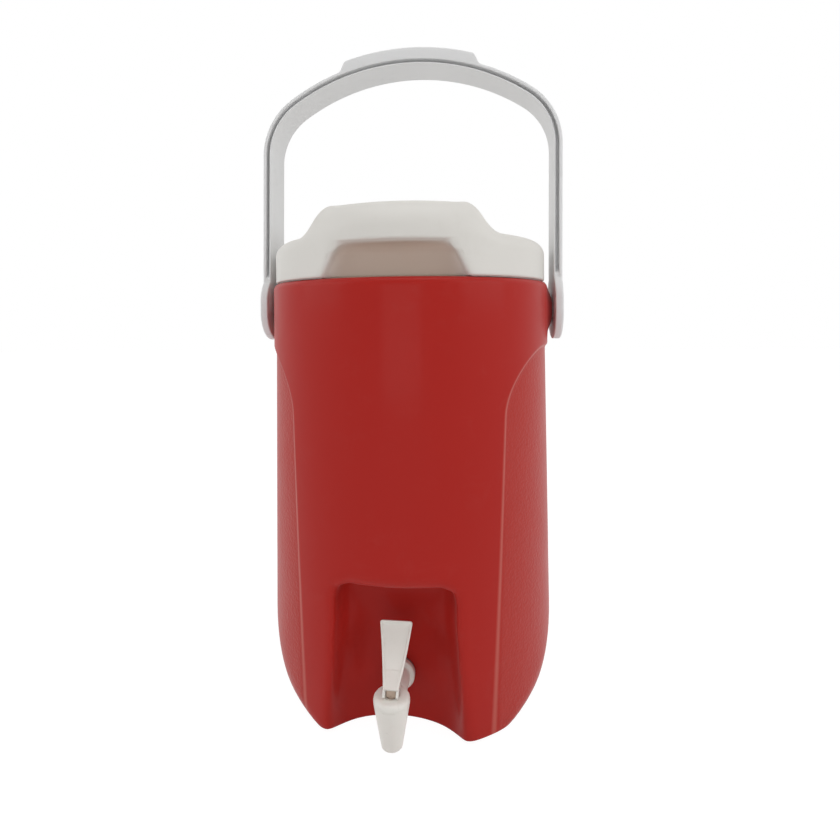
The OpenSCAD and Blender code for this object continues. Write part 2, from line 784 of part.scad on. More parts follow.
// The lid's inner half: a flange under the cover and a hollow plug that goes into the mouth
module lid_liner() color(white) lid_turned() {
    flange_z = body_h + seat_gap;
    difference() {
        union() {
            translate([0, 0, flange_z]) cylinder(r = lid_inner_r, h = plug_floor);
            translate([0, 0, body_h - plug_depth]) cylinder(r = plug_r_out, h = plug_depth + plug_floor);
        }
        translate([0, 0, body_h - plug_depth + plug_floor])
            cylinder(r = plug_r_out - plug_wall, h = plug_depth + 2 * plug_floor);
        translate([0, 0, gasket_z - gasket_h / 2 - fit_gap])
            ring(plug_r_out - gasket_groove, liner_r + past, gasket_h + 2 * fit_gap);
        intersection() {
            recess_space(lid_wall + fit_gap);
            translate([0, 0, flange_z - past]) ring(plug_r_out - plug_wall + past, reach, plug_floor + 3 * past);
        }
    }
}

module lid_foam() color(foam_colour) lid_turned() {
    skin = lid_wall + fit_gap;
    flange_top = body_h + seat_gap + plug_floor;
    translate([0, 0, body_h - plug_depth + plug_floor + fit_gap])
        cylinder(r = plug_r_out - plug_wall - fit_gap, h = plug_depth + lid_gap + plug_floor);
    difference() {
        lid_form(skin);
        recess_space(skin);
        cylinder(r = reach, h = flange_top + fit_gap);
    }
}

module lid_gasket() color(dark_rubber) {
    translate([0, 0, gasket_z - gasket_h / 2])
        ring(plug_r_out - gasket_groove + fit_gap, liner_r - fit_gap, gasket_h);
}

outer_shell();
foam_fill();
inner_liner();
fill_plug();
pivot_pin_left();
pivot_pin_right();
tap_body();
flange_washer();
inner_washer();
shank_nut();
tap_bonnet();
bonnet_seal();
valve_stem();
valve_plug();
stem_spring();
lever_pin();
tap_lever();
bail_handle();
lid_cover();
lid_liner();
lid_foam();
lid_gasket();
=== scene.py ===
"""Water cooler jug: a red body, white lid, carrying bail and lever tap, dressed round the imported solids.

Every size is in metres.
"""
import math

import bpy
import numpy as np
from bpy.props import FloatProperty, FloatVectorProperty, PointerProperty
from bpy.types import Operator, Panel, PropertyGroup
from mathutils import Matrix, Vector


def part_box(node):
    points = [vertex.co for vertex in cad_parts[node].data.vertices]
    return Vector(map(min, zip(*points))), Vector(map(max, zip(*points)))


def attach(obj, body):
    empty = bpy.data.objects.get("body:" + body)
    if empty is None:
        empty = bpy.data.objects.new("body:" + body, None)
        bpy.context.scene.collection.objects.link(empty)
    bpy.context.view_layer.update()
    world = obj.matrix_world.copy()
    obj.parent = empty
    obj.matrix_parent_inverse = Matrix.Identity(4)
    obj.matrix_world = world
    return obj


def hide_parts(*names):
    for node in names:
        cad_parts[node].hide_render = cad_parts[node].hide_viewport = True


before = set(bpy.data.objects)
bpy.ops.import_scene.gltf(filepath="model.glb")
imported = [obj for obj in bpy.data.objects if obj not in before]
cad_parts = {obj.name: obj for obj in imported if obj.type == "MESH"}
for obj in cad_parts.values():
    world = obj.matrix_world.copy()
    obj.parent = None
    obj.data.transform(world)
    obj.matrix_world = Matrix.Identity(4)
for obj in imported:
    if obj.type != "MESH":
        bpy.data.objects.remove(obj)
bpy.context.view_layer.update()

bl_info = {
    "name": "Water Cooler Jug",
    "version": (1, 0, 0),
    "blender": (4, 5, 0),
    "location": "View3D > Sidebar > Jug",
    "description": "Builds an insulated drink jug with a lid, a bail handle and a lever tap",
    "category": "Add Mesh",
}

WELD = 0.00001
SMOOTH_ANGLE = math.radians(40)
SHELL_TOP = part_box("outer_shell")[1]
# Share of the body's radius past which a place counts as beside it
SIDE_SHARE = 0.45
# Distances below and above the alcove's ceiling where its overhang starts and ends
CEILING_BELOW = 0.022
CEILING_ABOVE = 0.018
# Points from the alcove's middle out to its edge
ALCOVE_POINTS = 47
# Step from the strap's inner face out to the ears' inner faces
EAR_STEP = 0.00005


def length(name, description, default):
    """A size in metres that a user may change."""
    return FloatProperty(
        name=name, description=description, default=default, min=0.0, precision=4, unit="LENGTH"
    )


def angle(name, description, degrees):
    """An angle that a user may change."""
    return FloatProperty(
        name=name, description=description, default=math.radians(degrees), subtype="ANGLE"
    )


def colour(name, description, default):
    """A linear colour that a user may change."""
    return FloatVectorProperty(
        name=name, description=description, default=default, size=3, min=0.0, max=1.0, subtype="COLOR"
    )


class JugBodySizes(PropertyGroup):
    """Sizes of the red body."""

    radius: length("Radius", "Outer radius of the body", SHELL_TOP[1])
    height: length("Height", "Height of the rim above the floor", SHELL_TOP[2])
    base_draw: length("Base draw", "How far the wall draws in towards the floor", 0.013)
    base_front: length("Front base rise", "Height where the wall draws in, in front and behind", 0.0035)
    base_side: length("Side base rise", "Height where the wall draws in, at the sides", 0.065)
    base_turn: angle("Base turn", "How far the base's form is turned from the tap", 7)
    rim_round: length("Rim edge", "Radius of the rim's outer edge", 0.005)
    wall: length("Wall", "Thickness of the outer wall", 0.004)
    alcove_half: length("Alcove foot", "Half width of the alcove's mouth at the floor", 0.047)
    alcove_head: length("Alcove head", "Half width of the alcove's mouth under its ceiling", 0.0432)
    alcove_back: length("Alcove back", "Distance of the alcove's back wall from the axis", 0.0805)
    alcove_scoop: length("Alcove scoop", "How far the back wall curves forward at the floor", 0.003)
    scoop_top: length("Scoop top", "Height where the back wall starts to curve forward", 0.018)
    alcove_top: length("Alcove top", "Height of the alcove's ceiling", 0.110)
    alcove_corner: length("Alcove corner", "Radius of the corners between the ceiling and the sides", 0.008)
    alcove_soft: length("Alcove edge", "Softness of the alcove's edges at its ceiling", 0.010)
    foot_soft: length("Alcove foot edge", "Softness of the alcove's edges at the floor", 0.016)
    alcove_foot: length("Alcove lower edge", "Radius of the alcove's lower edge", 0.002)
    panel_foot: length("Panel foot", "Half width of the side panels at the floor", 0.097)
    panel_head: length("Panel head", "Half width of the side panels at their top", 0.086)
    panel_top: length("Panel top", "Height of the side panels", 0.273)
    panel_corner: length("Panel corner", "Radius of the side panels' upper corners", 0.048)
    panel_deep: length("Panel depth", "Depth of the side panels at their top", 0.002)
    panel_step: length("Panel step", "Width of the slope round the side panels", 0.0032)
    boss_height: length("Pivot height", "Height of the bosses that carry the bail", 0.303)
    boss_face: length("Boss face", "Distance of the bosses' faces from the axis", 0.1232)
    boss_flat: length("Boss flat", "Radius of the bosses' flat faces", 0.0105)
    seat_radius: length("Rim seat", "Radius of the seat that holds the pot's flange", 0.1097)
    seat_depth: length("Rim seat depth", "Depth of the seat that holds the pot's flange", 0.0027)
    mouth_radius: length("Mouth", "Inner radius of the body's rim", 0.1007)


class JugLidSizes(PropertyGroup):
    """Sizes of the white lid."""

    radius: length("Radius", "Outer radius of the lid", 0.117)
    bottom: length("Bottom", "Height of the lid's lower edge", 0.3267)
    shoulder: length("Shoulder", "Height of the shoulders beside the bar", 0.3631)
    shoulder_drop: length("Shoulder drop", "How far the shoulders fall towards the lid's side", 0.004)
    top: length("Top", "Height of the bar's top", 0.3822)
    shoulder_round: length("Shoulder edge", "Radius of the shoulders' outer edge", 0.0103)
    end_round: length("Bar end", "Radius of the bar's ends", 0.0253)
    bar_half: length("Bar half width", "Half width of the bar where its slopes start", 0.0559)
    bar_foot: length("Bar foot", "Half width of the bar where it meets the shoulders", 0.0704)
    bar_soft: length("Bar edge", "Softness of the bar's edges", 0.007)
    recess_top: length("Recess top", "Height of the finger recesses' ceiling", 0.3508)
    recess_half_top: length("Recess top half width", "Half width of the recesses at their ceiling", 0.0405)
    recess_half_foot: length("Recess foot half width", "Half width of the recesses at the lid's edge", 0.052)
    recess_back: length("Recess back", "Distance of the finger recesses' back walls from the axis", 0.097)
    recess_soft: length("Recess edge", "Softness of the finger recesses' edges", 0.010)
    wall: length("Wall", "Thickness of the lid's wall", 0.0025)
    turn: angle("Turn", "How far the lid is turned on the body", 0.7)


class JugBailSizes(PropertyGroup):
    """Sizes of the carrying bail."""

    leg_inside: length("Leg inside", "Distance of the legs' inner faces from the axis", 0.1238)
    strap: length("Strap", "Thickness of the strap", 0.0072)
    half_depth: length("Half depth", "Half the depth of the strap from front to back", 0.0172)
    crown_radius: length("Crown", "Inner radius of the bail's crown", 0.180)
    corner_radius: length("Corner", "Inner radius of the bail's corners", 0.0515)
    crown_rise: length("Crown rise", "Height of the crown's inner face above the pivots", 0.2142)
    lean: angle("Lean", "How far the strap leans to the right", 0.66)
    outer_flange: length("Outer flange", "Thickness of the outer flange", 0.0029)
    inner_flange: length("Inner flange", "Thickness of the inner flange", 0.0012)
    groove_deep: length("Groove depth", "Depth of the grooves in the strap's front and back", 0.008)
    groove_foot: length("Groove foot", "Height where the grooves start", 0.337)
    grip_half: length("Grip half length", "Half the length of the grip", 0.0565)
    grip_rise: length("Grip rise", "Height of the grip above the strap", 0.0074)
    grip_ramp: length("Grip ramp", "Length of the slopes at the grip's ends", 0.009)
    ear_radius: length("Ear radius", "Radius of the round ears", 0.0255)
    ear_rise: length("Ear rise", "How far the ears' upper round lies above the pivots", 0.0085)
    ear_thick: length("Ear thickness", "Thickness of the round ears", 0.0068)
    pin_radius: length("Pin hole", "Radius of the holes for the pivot pins", 0.0062)
    head_radius: length("Pin head hole", "Radius of the hollows for the pins' heads", 0.0113)
    head_depth: length("Pin head depth", "Depth of the hollows for the pins' heads", 0.0028)


class JugTapSizes(PropertyGroup):
    """Sizes of the tap."""

    axis_y: FloatProperty(
        name="Barrel place", description="Place of the barrel's axis", default=-0.1245, unit="LENGTH"
    )
    barrel_top: length("Barrel top", "Height of the barrel's top", 0.0405)
    barrel_radius: length("Barrel radius", "Radius of the barrel's top", 0.01235)
    spout_foot: length("Spout foot", "Height of the spout's mouth", 0.011)
    spout_radius: length("Spout radius", "Radius of the spout's mouth", 0.00715)
    bore: length("Bore", "Radius of the spout's bore", 0.0044)
    shank_height: length("Shank height", "Height of the shank's axis", 0.032)
    shank_radius: length("Shank radius", "Radius of the shank", 0.0075)
    flange_radius: length("Flange radius", "Radius of the flange against the alcove", 0.011)
    flange_thick: length("Flange thickness", "Thickness of the flange against the alcove", 0.004)
    bonnet_low: length("Bonnet foot", "Height of the bonnet's lower face", 0.04055)
    bonnet_top: length("Bonnet top", "Height of the bonnet's upper face", 0.045)
    bonnet_round: length("Bonnet edge", "Radius of the bonnet's upper edge", 0.0028)
    pin_height: length("Lever pin", "Height of the lever's pin", 0.048)
    pin_hole: length("Lever pin hole", "Radius of the hole for the lever's pin", 0.00128)
    foot_front: length("Lever foot place", "Distance of the lever's foot in front of its pin", 0.005)
    foot_rise: length("Lever foot height", "Height of the lever's foot above its pin", 0.0034)
    tip_behind: length("Lever tip place", "Distance of the lever's tip behind its pin", 0.0235)
    tip_rise: length("Lever tip height", "Height of the lever's tip above its pin", 0.033)
    tip_half: length("Lever tip half width", "Half width of the lever at its tip", 0.0119)
    foot_half: length("Lever foot half width", "Half width of the lever at its foot", 0.0052)
    lever_thick: length("Lever thickness", "Thickness of the lever", 0.0026)
    foot_thick: length("Lever foot thickness", "Thickness of the lever at its foot", 0.0012)
    lever_bow: length("Lever bow", "How far the lever bows backwards", 0.004)
    lever_dish: length("Lever dish", "Depth of the lever's hollow face", 0.0011)
    lever_rim: length("Lever rim", "Width of the rim round the lever's hollow face", 0.0011)
    arm_inside: length("Fork arm", "Distance of the fork arms' inner faces from the middle", 0.0037)
    arm_outside: length("Fork arm outside", "Distance of the fork arms' outer faces from the middle", 0.0053)
    stem_radius: length("Stem", "Radius of the valve's stem", 0.0032)
    head_half: length("Stem head", "Half width of the stem's square head", 0.0032)
    head_rise: length("Stem head height", "Height of the stem's head above the lever's pin", 0.0019)


class JugFinishes(PropertyGroup):
    """Colours of the jug's finishes."""

    red: colour("Red body", "Colour of the body", (0.40, 0.014, 0.009))
    white: colour("White lid", "Colour of the lid and the pot", (0.70, 0.68, 0.64))
    bail: colour("Bail white", "Colour of the bail", (0.73, 0.73, 0.73))
    tap: colour("Tap white", "Colour of the tap", (0.78, 0.76, 0.71))
    tan: colour("Tan stem", "Colour of the valve's stem", (0.66, 0.51, 0.41))
    rubber: colour("Dark rubber", "Colour of the washers and the seals", (0.03, 0.03, 0.03))
    foam: colour("Foam", "Colour of the insulation", (0.75, 0.68, 0.42))
    steel: colour("Steel", "Colour of the spring and the lever's pin", (0.55, 0.56, 0.58))


def deselect_all():
    """Leaves edit mode and selects nothing."""
    if bpy.context.mode != "OBJECT":
        bpy.ops.object.mode_set(mode="OBJECT")
    bpy.ops.object.select_all(action="DESELECT")


def pick(piece):
    """Makes one piece the only selected one."""
    deselect_all()
    bpy.context.view_layer.objects.active = piece
    piece.select_set(True)


def named(name):
    """Names the piece that was just added."""
    piece = bpy.context.active_object
    piece.name = name
    piece.data.name = name
    return piece


def close_mesh(piece):
    """Merges seams and poles and turns the faces outwards."""
    pick(piece)
    bpy.ops.object.mode_set(mode="EDIT")
    bpy.ops.mesh.select_all(action="SELECT")
    bpy.ops.mesh.remove_doubles(threshold=WELD)
    bpy.ops.mesh.normals_make_consistent(inside=False)
    bpy.ops.object.mode_set(mode="OBJECT")


def smooth(piece):
    """Shades a piece smooth, apart from its sharp edges."""
    pick(piece)
    bpy.ops.object.shade_smooth_by_angle(angle=SMOOTH_ANGLE)


def laid_sheet(name, rows):
    """A grid whose rows are laid on rings of points, closed round its columns and at its ends."""
    points = np.array(rows, dtype=np.float32)
    deselect_all()
    bpy.ops.mesh.primitive_grid_add(x_subdivisions=points.shape[1] - 1, y_subdivisions=points.shape[0] - 1)
    piece = named(name)
    piece.data.vertices.foreach_set("co", points.ravel())
    close_mesh(piece)
    return piece


def eased_outline(corners, closed=False, count=4):
    """Points along an outline whose corners are (across, along, radius)."""
    spots = [np.array(corner[:2], dtype=float) for corner in corners]
    points = []
    for index, corner in enumerate(corners):
        at_end = index in (0, len(corners) - 1) and not closed
        if at_end or corner[2] == 0:
            points.append(spots[index])
            continue
        back = spots[index - 1] - spots[index]
        ahead = spots[(index + 1) % len(spots)] - spots[index]
        back /= np.linalg.norm(back)
        ahead /= np.linalg.norm(ahead)
        half = 0.5 * math.acos(np.clip(back @ ahead, -1, 1))
        middle = spots[index] + (back + ahead) / np.linalg.norm(back + ahead) * corner[2] / math.sin(half)
        start = spots[index] + back * corner[2] / math.tan(half) - middle
        end = spots[index] + ahead * corner[2] / math.tan(half) - middle
        sweep = math.pi - 2 * half
        side = math.copysign(1, start[0] * end[1] - start[1] * end[0])
        for step in range(count + 1):
            turn = side * sweep * step / count
            turned = (
                start[0] * math.cos(turn) - start[1] * math.sin(turn),
                start[0] * math.sin(turn) + start[1] * math.cos(turn),
            )
            points.append(middle + turned)
    return np.array(points)


def spun(name, outline, centre, axis, steps=64):
    """A round piece: one vertex is extruded along an outline of (radius, along), then spun round the axis."""
    axis = Vector(axis)
    across = Vector((1, 0, 0)) if axis.z else Vector((0, 0, 1))
    spots = [Vector(centre) + across * radius + axis * along for radius, along in outline]
    deselect_all()
    bpy.ops.mesh.primitive_plane_add(size=0.01)
    piece = named(name)
    bpy.ops.object.mode_set(mode="EDIT")
    bpy.ops.mesh.select_all(action="SELECT")
    bpy.ops.mesh.merge(type="CENTER")
    bpy.ops.transform.translate(value=spots[0])
    for before, after in zip(spots, spots[1:]):
        bpy.ops.mesh.extrude_vertices_move(TRANSFORM_OT_translate={"value": after - before})
    bpy.ops.mesh.select_all(action="SELECT")
    bpy.ops.mesh.spin(steps=steps, angle=2 * math.pi, center=centre, axis=axis)
    close_mesh(piece)
    return piece


def cut_or_join(piece, other, operation):
    """Joins another piece to this one, or cuts it away."""
    pick(piece)
    change = piece.modifiers.new(name=operation, type="BOOLEAN")
    change.operation = operation
    change.object = other
    change.solver = "MANIFOLD"
    bpy.ops.object.modifier_apply(modifier=change.name)
    spare = other.data
    bpy.data.objects.remove(other)
    bpy.data.meshes.remove(spare)


def piece_points(piece):
    """Places of a piece's points, a row for each."""
    spots = np.empty(len(piece.data.vertices) * 3)
    piece.data.vertices.foreach_get("co", spots)
    return spots.reshape(-1, 3)


def mark_points(piece, name, values):
    """Stores a value at each of a piece's points, for its material to read."""
    mark = piece.data.attributes.new(name, "FLOAT", "POINT")
    mark.data.foreach_set("value", values.astype(np.float32))


def hand_over(piece, body, node, material):
    """Gives a finished piece its material and the body that it rides on, and hides the solid that it stands
    in for.
    """
    piece.data.materials.clear()
    piece.data.materials.append(material)
    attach(piece, body)
    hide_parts(node)


def smoothstep(low, high, value):
    """0 below low and 1 above high, with a smooth rise between them."""
    part = np.clip((value - low) / (high - low), 0, 1)
    return part * part * (3 - 2 * part)


def ring(plan, height):
    """A plan curve at a height, or at a height for each of its points."""
    return np.column_stack([plan, np.broadcast_to(height, len(plan))])


def lengths_along(line):
    """Distance along a line of points, at each of them."""
    return np.concatenate([[0], np.cumsum(np.hypot(*np.diff(line, axis=0).T))])


def softened(plan, reach):
    """Rounds a closed plan curve by averaging it along its own length."""
    along = lengths_along(plan)
    count = 6000
    even = np.arange(count) * along[-1] / count
    width = max(3, int(reach / along[-1] * count))
    kernel = np.ones(width) / width
    result = np.empty_like(plan)
    for axis in (0, 1):
        line = np.interp(even, along, plan[:, axis])
        for _ in range(2):
            wrapped = np.concatenate([line[-width:], line, line[:width]])
            line = np.convolve(wrapped, kernel, "same")[width:-width]
        result[:, axis] = np.interp(along, even, line, period=along[-1])
    return result


def overhang(depth, low, corner, high, rows, reach):
    """Paths up a hollow's back wall, out along its ceiling and up the front: shares of depth, and heights."""
    rise = corner - low
    total = rise + depth + high - corner
    place = np.linspace(0, 1, rows)[:, None] * total
    spread = np.minimum(reach, np.minimum(place, total - place))
    share = np.zeros_like(place)
    height = np.zeros_like(place)
    shifts = np.linspace(-1, 1, 13)
    for shift in shifts:
        spot = place + shift * spread
        share += np.clip(1 - (spot - rise) / np.maximum(depth, 0.0001), 0, 1)
        height += low + np.clip(spot, 0, rise) + np.clip(spot - rise - depth, 0, high - corner)
    return share / len(shifts), height / len(shifts)


def node(tree, kind, inputs=None, **settings):
    """Adds a shader node, sets it, and fills or links its inputs."""
    made = tree.nodes.new(kind)
    for key, value in settings.items():
        setattr(made, key, value)
    for key, value in (inputs or {}).items():
        if isinstance(value, bpy.types.NodeSocket):
            tree.links.new(value, made.inputs[key])
        else:
            made.inputs[key].default_value = value
    return made


def shader_group(name, inputs, outputs):
    """An empty node group with named sockets, and its input and output nodes."""
    tree = bpy.data.node_groups.new(name, "ShaderNodeTree")
    for label, kind, default in inputs:
        socket = tree.interface.new_socket(name=label, in_out="INPUT", socket_type=kind)
        if default is not None:
            socket.default_value = default
    for label, kind in outputs:
        tree.interface.new_socket(name=label, in_out="OUTPUT", socket_type=kind)
    return tree, node(tree, "NodeGroupInput"), node(tree, "NodeGroupOutput")


def combined(tree, operation, first, second):
    """The result of one operation on two values."""
    return node(tree, "ShaderNodeMath", {0: first, 1: second}, operation=operation).outputs[0]


def blended(tree, share, first, second):
    """A colour that lies between two colours."""
    return node(tree, "ShaderNodeMix", {"Factor": share, 6: first, 7: second}, data_type="RGBA").outputs[2]


def spread(tree, value, low, high, start=0.0, end=1.0):
    """A value moved from one range to another, and held at its ends."""
    return node(tree, "ShaderNodeMapRange", {
        "Value": value, "From Min": low, "From Max": high, "To Min": start, "To Max": end,
    }).outputs["Result"]


def noise(tree, place, scale, detail, roughness, distortion=0.0):
    """A value that changes at random from place to place."""
    return node(tree, "ShaderNodeTexNoise", {
        "Vector": place, "Scale": scale, "Detail": detail, "Roughness": roughness, "Distortion": distortion,
    }).outputs["Fac"]


def moulded_skin_group():
    """Fine grain and broad ripples of a moulded surface, as a height."""
    tree, given, result = shader_group(
        "moulded_skin",
        [("Vector", "NodeSocketVector", None), ("Grain Scale", "NodeSocketFloat", 900.0),
         ("Ripple Scale", "NodeSocketFloat", 40.0), ("Ripple Share", "NodeSocketFloat", 0.3)],
        [("Height", "NodeSocketFloat")],
    )
    place = given.outputs["Vector"]
    grain = noise(tree, place, given.outputs["Grain Scale"], 3.0, 0.6)
    ripple = noise(tree, place, given.outputs["Ripple Scale"], 2.0, 0.5)
    blend = node(tree, "ShaderNodeMix", {
        "Factor": given.outputs["Ripple Share"], "A": grain, "B": ripple,
    }, data_type="FLOAT")
    tree.links.new(blend.outputs["Result"], result.inputs["Height"])
    return tree


def worn_tint_group():
    """Colour that drifts a little, with scuffs, and a roughness that follows the drift."""
    tree, given, result = shader_group(
        "worn_tint",
        [("Vector", "NodeSocketVector", None), ("Colour", "NodeSocketColor", (0.5, 0.5, 0.5, 1)),
         ("Scuff Colour", "NodeSocketColor", (0.6, 0.6, 0.6, 1)), ("Drift Scale", "NodeSocketFloat", 14.0),
         ("Scuff Scale", "NodeSocketFloat", 60.0), ("Scuff Amount", "NodeSocketFloat", 0.25),
         ("Roughness Low", "NodeSocketFloat", 0.35), ("Roughness High", "NodeSocketFloat", 0.55)],
        [("Colour", "NodeSocketColor"), ("Roughness", "NodeSocketFloat")],
    )
    sockets = given.outputs
    drift = noise(tree, sockets["Vector"], sockets["Drift Scale"], 4.0, 0.55)
    scuff = noise(tree, sockets["Vector"], sockets["Scuff Scale"], 6.0, 0.7, 0.6)
    marks = combined(tree, "MULTIPLY", spread(tree, scuff, 0.52, 0.75), spread(tree, drift, 0.35, 0.65))
    amount = combined(tree, "MULTIPLY", marks, sockets["Scuff Amount"])
    tint = blended(tree, amount, sockets["Colour"], sockets["Scuff Colour"])
    rough = spread(tree, drift, 0.3, 0.7, sockets["Roughness Low"], sockets["Roughness High"])
    tree.links.new(tint, result.inputs["Colour"])
    tree.links.new(rough, result.inputs["Roughness"])
    return tree


def shared_group(name):
    """The shader group of that name, built at its first use."""
    makers = {"moulded_skin": moulded_skin_group, "worn_tint": worn_tint_group}
    return bpy.data.node_groups.get(name) or makers[name]()


# What a finish has where its own values don't say otherwise
PLAIN_FINISH = {
    "drift": 14.0, "scuff": 60.0, "amount": 0.25, "low": 0.4, "high": 0.55, "grain": 900.0,
    "strength": 0.2, "distance": 0.0003, "metal": 0.0, "shine": 0.5,
}
# Each finish: the setting that holds its colour, the colour of its scuffs, and its own values
FINISHES = {
    "white_satin": ("white", (0.52, 0.48, 0.42), {"amount": 0.18, "strength": 0.12}),
    "lid_satin": ("white", (0.52, 0.48, 0.42), {"amount": 0.18, "strength": 0.12}),
    "bail_satin": ("bail", (0.48, 0.48, 0.47), {"amount": 0.2, "strength": 0.12, "scuff": 90.0}),
    "tap_gloss": ("tap", (0.55, 0.5, 0.42), {
        "amount": 0.15, "strength": 0.06, "low": 0.25, "high": 0.4, "scuff": 220.0, "drift": 60.0,
    }),
    "dark_rubber": ("rubber", (0.1464, 0.1464, 0.1464), {
        "low": 0.6, "high": 0.8, "drift": 80.0, "scuff": 300.0,
    }),
    "tan_stem": ("tan", (0.728, 0.608, 0.528), {
        "low": 0.45, "high": 0.65, "drift": 120.0, "scuff": 400.0,
    }),
    "rigid_foam": ("foam", (0.45, 0.36, 0.18), {
        "low": 0.8, "high": 0.95, "grain": 420.0, "strength": 0.8, "distance": 0.001, "amount": 0.5,
    }),
    "drawn_steel": ("steel", (0.3, 0.29, 0.28), {
        "metal": 1.0, "low": 0.25, "high": 0.4, "drift": 200.0, "scuff": 600.0, "grain": 2500.0,
    }),
    "red_moulded": ("red", (0.42, 0.075, 0.06), {
        "amount": 0.15, "low": 0.42, "high": 0.52, "strength": 0.1, "scuff": 45.0, "shine": 0.1,
    }),
    "red_plug": ("red", (0.42, 0.075, 0.06), {"amount": 0.3}),
}


def plastic(name):
    """The finish of that name: tint with scuffs, changing roughness and a fine grain."""
    found = bpy.data.materials.get(name)
    if found:
        return found
    setting, scuff, own_values = FINISHES[name]
    values = {**PLAIN_FINISH, **own_values}
    base = getattr(bpy.context.scene.jug_finishes, setting)
    material = bpy.data.materials.new(name)
    material.use_nodes = True
    tree = material.node_tree
    shader = tree.nodes["Principled BSDF"]
    place = node(tree, "ShaderNodeTexCoord").outputs["Object"]
    tint = node(tree, "ShaderNodeGroup", {
        "Vector": place, "Colour": (*base, 1), "Scuff Colour": (*scuff, 1),
        "Drift Scale": values["drift"], "Scuff Scale": values["scuff"], "Scuff Amount": values["amount"],
        "Roughness Low": values["low"], "Roughness High": values["high"],
    }, node_tree=shared_group("worn_tint"))
    skin = node(tree, "ShaderNodeGroup", {
        "Vector": place, "Grain Scale": values["grain"],
    }, node_tree=shared_group("moulded_skin"))
    bump = node(tree, "ShaderNodeBump", {
        "Height": skin.outputs["Height"], "Strength": values["strength"], "Distance": values["distance"],
    })
    tree.links.new(tint.outputs["Colour"], shader.inputs["Base Color"])
    tree.links.new(tint.outputs["Roughness"], shader.inputs["Roughness"])
    tree.links.new(bump.outputs["Normal"], shader.inputs["Normal"])
    shader.inputs["Metallic"].default_value = values["metal"]
    shader.inputs["Specular IOR Level"].default_value = values["shine"]
    return material


def lid_finish():
    """Satin white of the lid, with painted shade, darker and warmer, in its finger recesses."""
    material = plastic("lid_satin")
    tree = material.node_tree
    shader = tree.nodes["Principled BSDF"]
    plain = shader.inputs["Base Color"].links[0].from_socket
    recess = node(tree, "ShaderNodeAttribute", attribute_name="recess").outputs["Fac"]
    # Painted shade: the finger recesses are darkened and warmed towards this brown, more the deeper in.
    tint = blended(tree, combined(tree, "MULTIPLY", recess, 0.88), plain, (0.52, 0.40, 0.32, 1))
    tree.links.new(tint, shader.inputs["Base Color"])
    return material


def panel_inset(sizes, across, height):
    """Distance inside a side panel's border, negative outside it, from the place across and the height."""
    lean = np.array([sizes.panel_top, sizes.panel_foot - sizes.panel_head])
    lean /= np.linalg.norm(lean)
    side = (np.abs(across) - sizes.panel_foot) * lean[0] + height * lean[1] + sizes.panel_corner
    top = height - sizes.panel_top + sizes.panel_corner
    outside = np.hypot(np.maximum(side, 0), np.maximum(top, 0)) + np.minimum(np.maximum(side, top), 0)
    return sizes.panel_corner - outside


def side_forms(sizes, points):
    """Presses the side panels into the body's wall and raises the pivot bosses."""
    x, y, z = points.T
    beside = np.abs(x) > SIDE_SHARE * sizes.radius
    fade_top = 0.02
    depth = sizes.panel_deep * np.clip(z / sizes.panel_top, 0, 1) * smoothstep(0.0, fade_top, z)
    half_step = 0.5 * sizes.panel_step
    press = depth * smoothstep(-half_step, half_step, panel_inset(sizes, y, z)) * beside
    scale = 1 - press / np.hypot(x, y)
    x = x * scale
    y = y * scale
    away = np.hypot(y, z - sizes.boss_height)
    slope = 0.459
    cone = sizes.boss_face - slope * np.maximum(away - sizes.boss_flat, 0)
    blend = 0.0016
    near = np.abs(x)
    raised = 0.5 * (near + cone + np.sqrt((near - cone) ** 2 + blend ** 2))
    raised = np.minimum(raised, np.maximum(near, sizes.boss_face))
    boss_reach = 0.034
    x = np.where(beside & (away < boss_reach), np.copysign(raised, x), x)
    return np.column_stack([x, y, z])


def base_radius(sizes, angles, height):
    """Radius of the body at angles from the front: it draws in near the floor, sooner at the sides."""
    aside = np.abs(angles - sizes.base_turn)
    aside = np.minimum(aside, math.pi - aside)
    front_half = math.radians(36.5)
    side_span = math.radians(48.5)
    share = np.clip((aside - front_half) / side_span, 0, 1)
    rise = sizes.base_front + (sizes.base_side - sizes.base_front) * share
    left = np.maximum(1 - height / rise, 0)
    power = 1.62
    return sizes.radius - sizes.base_draw * (1 - (1 - left ** power) ** (1 / power))


def hollow_line(sizes, height, grow):
    """Right half of the alcove's plan at a height, from its middle out past its mouth."""
    up = min(height / (sizes.alcove_top - CEILING_BELOW), 1.0)
    half = sizes.alcove_half + (sizes.alcove_head - sizes.alcove_half) * up + grow
    left = max(1 - height / sizes.scoop_top, 0.0)
    back = grow - sizes.alcove_back - sizes.alcove_scoop * left ** 2
    mouth = -math.sqrt(sizes.radius ** 2 - half ** 2)
    squareness = 0.8
    square_height = 0.045
    power = 2 / (2 + squareness * float(smoothstep(0, square_height, height)))
    turn = np.linspace(0, 0.5 * math.pi, 3000)
    curve = np.column_stack([
        half * np.sin(turn) ** power, (back - mouth) * np.cos(turn) ** power + mouth,
    ])
    past_mouth = 0.03
    straight = np.column_stack([np.full(200, half), np.linspace(mouth, mouth - past_mouth, 200)])
    return np.vstack([curve, straight[1:]])


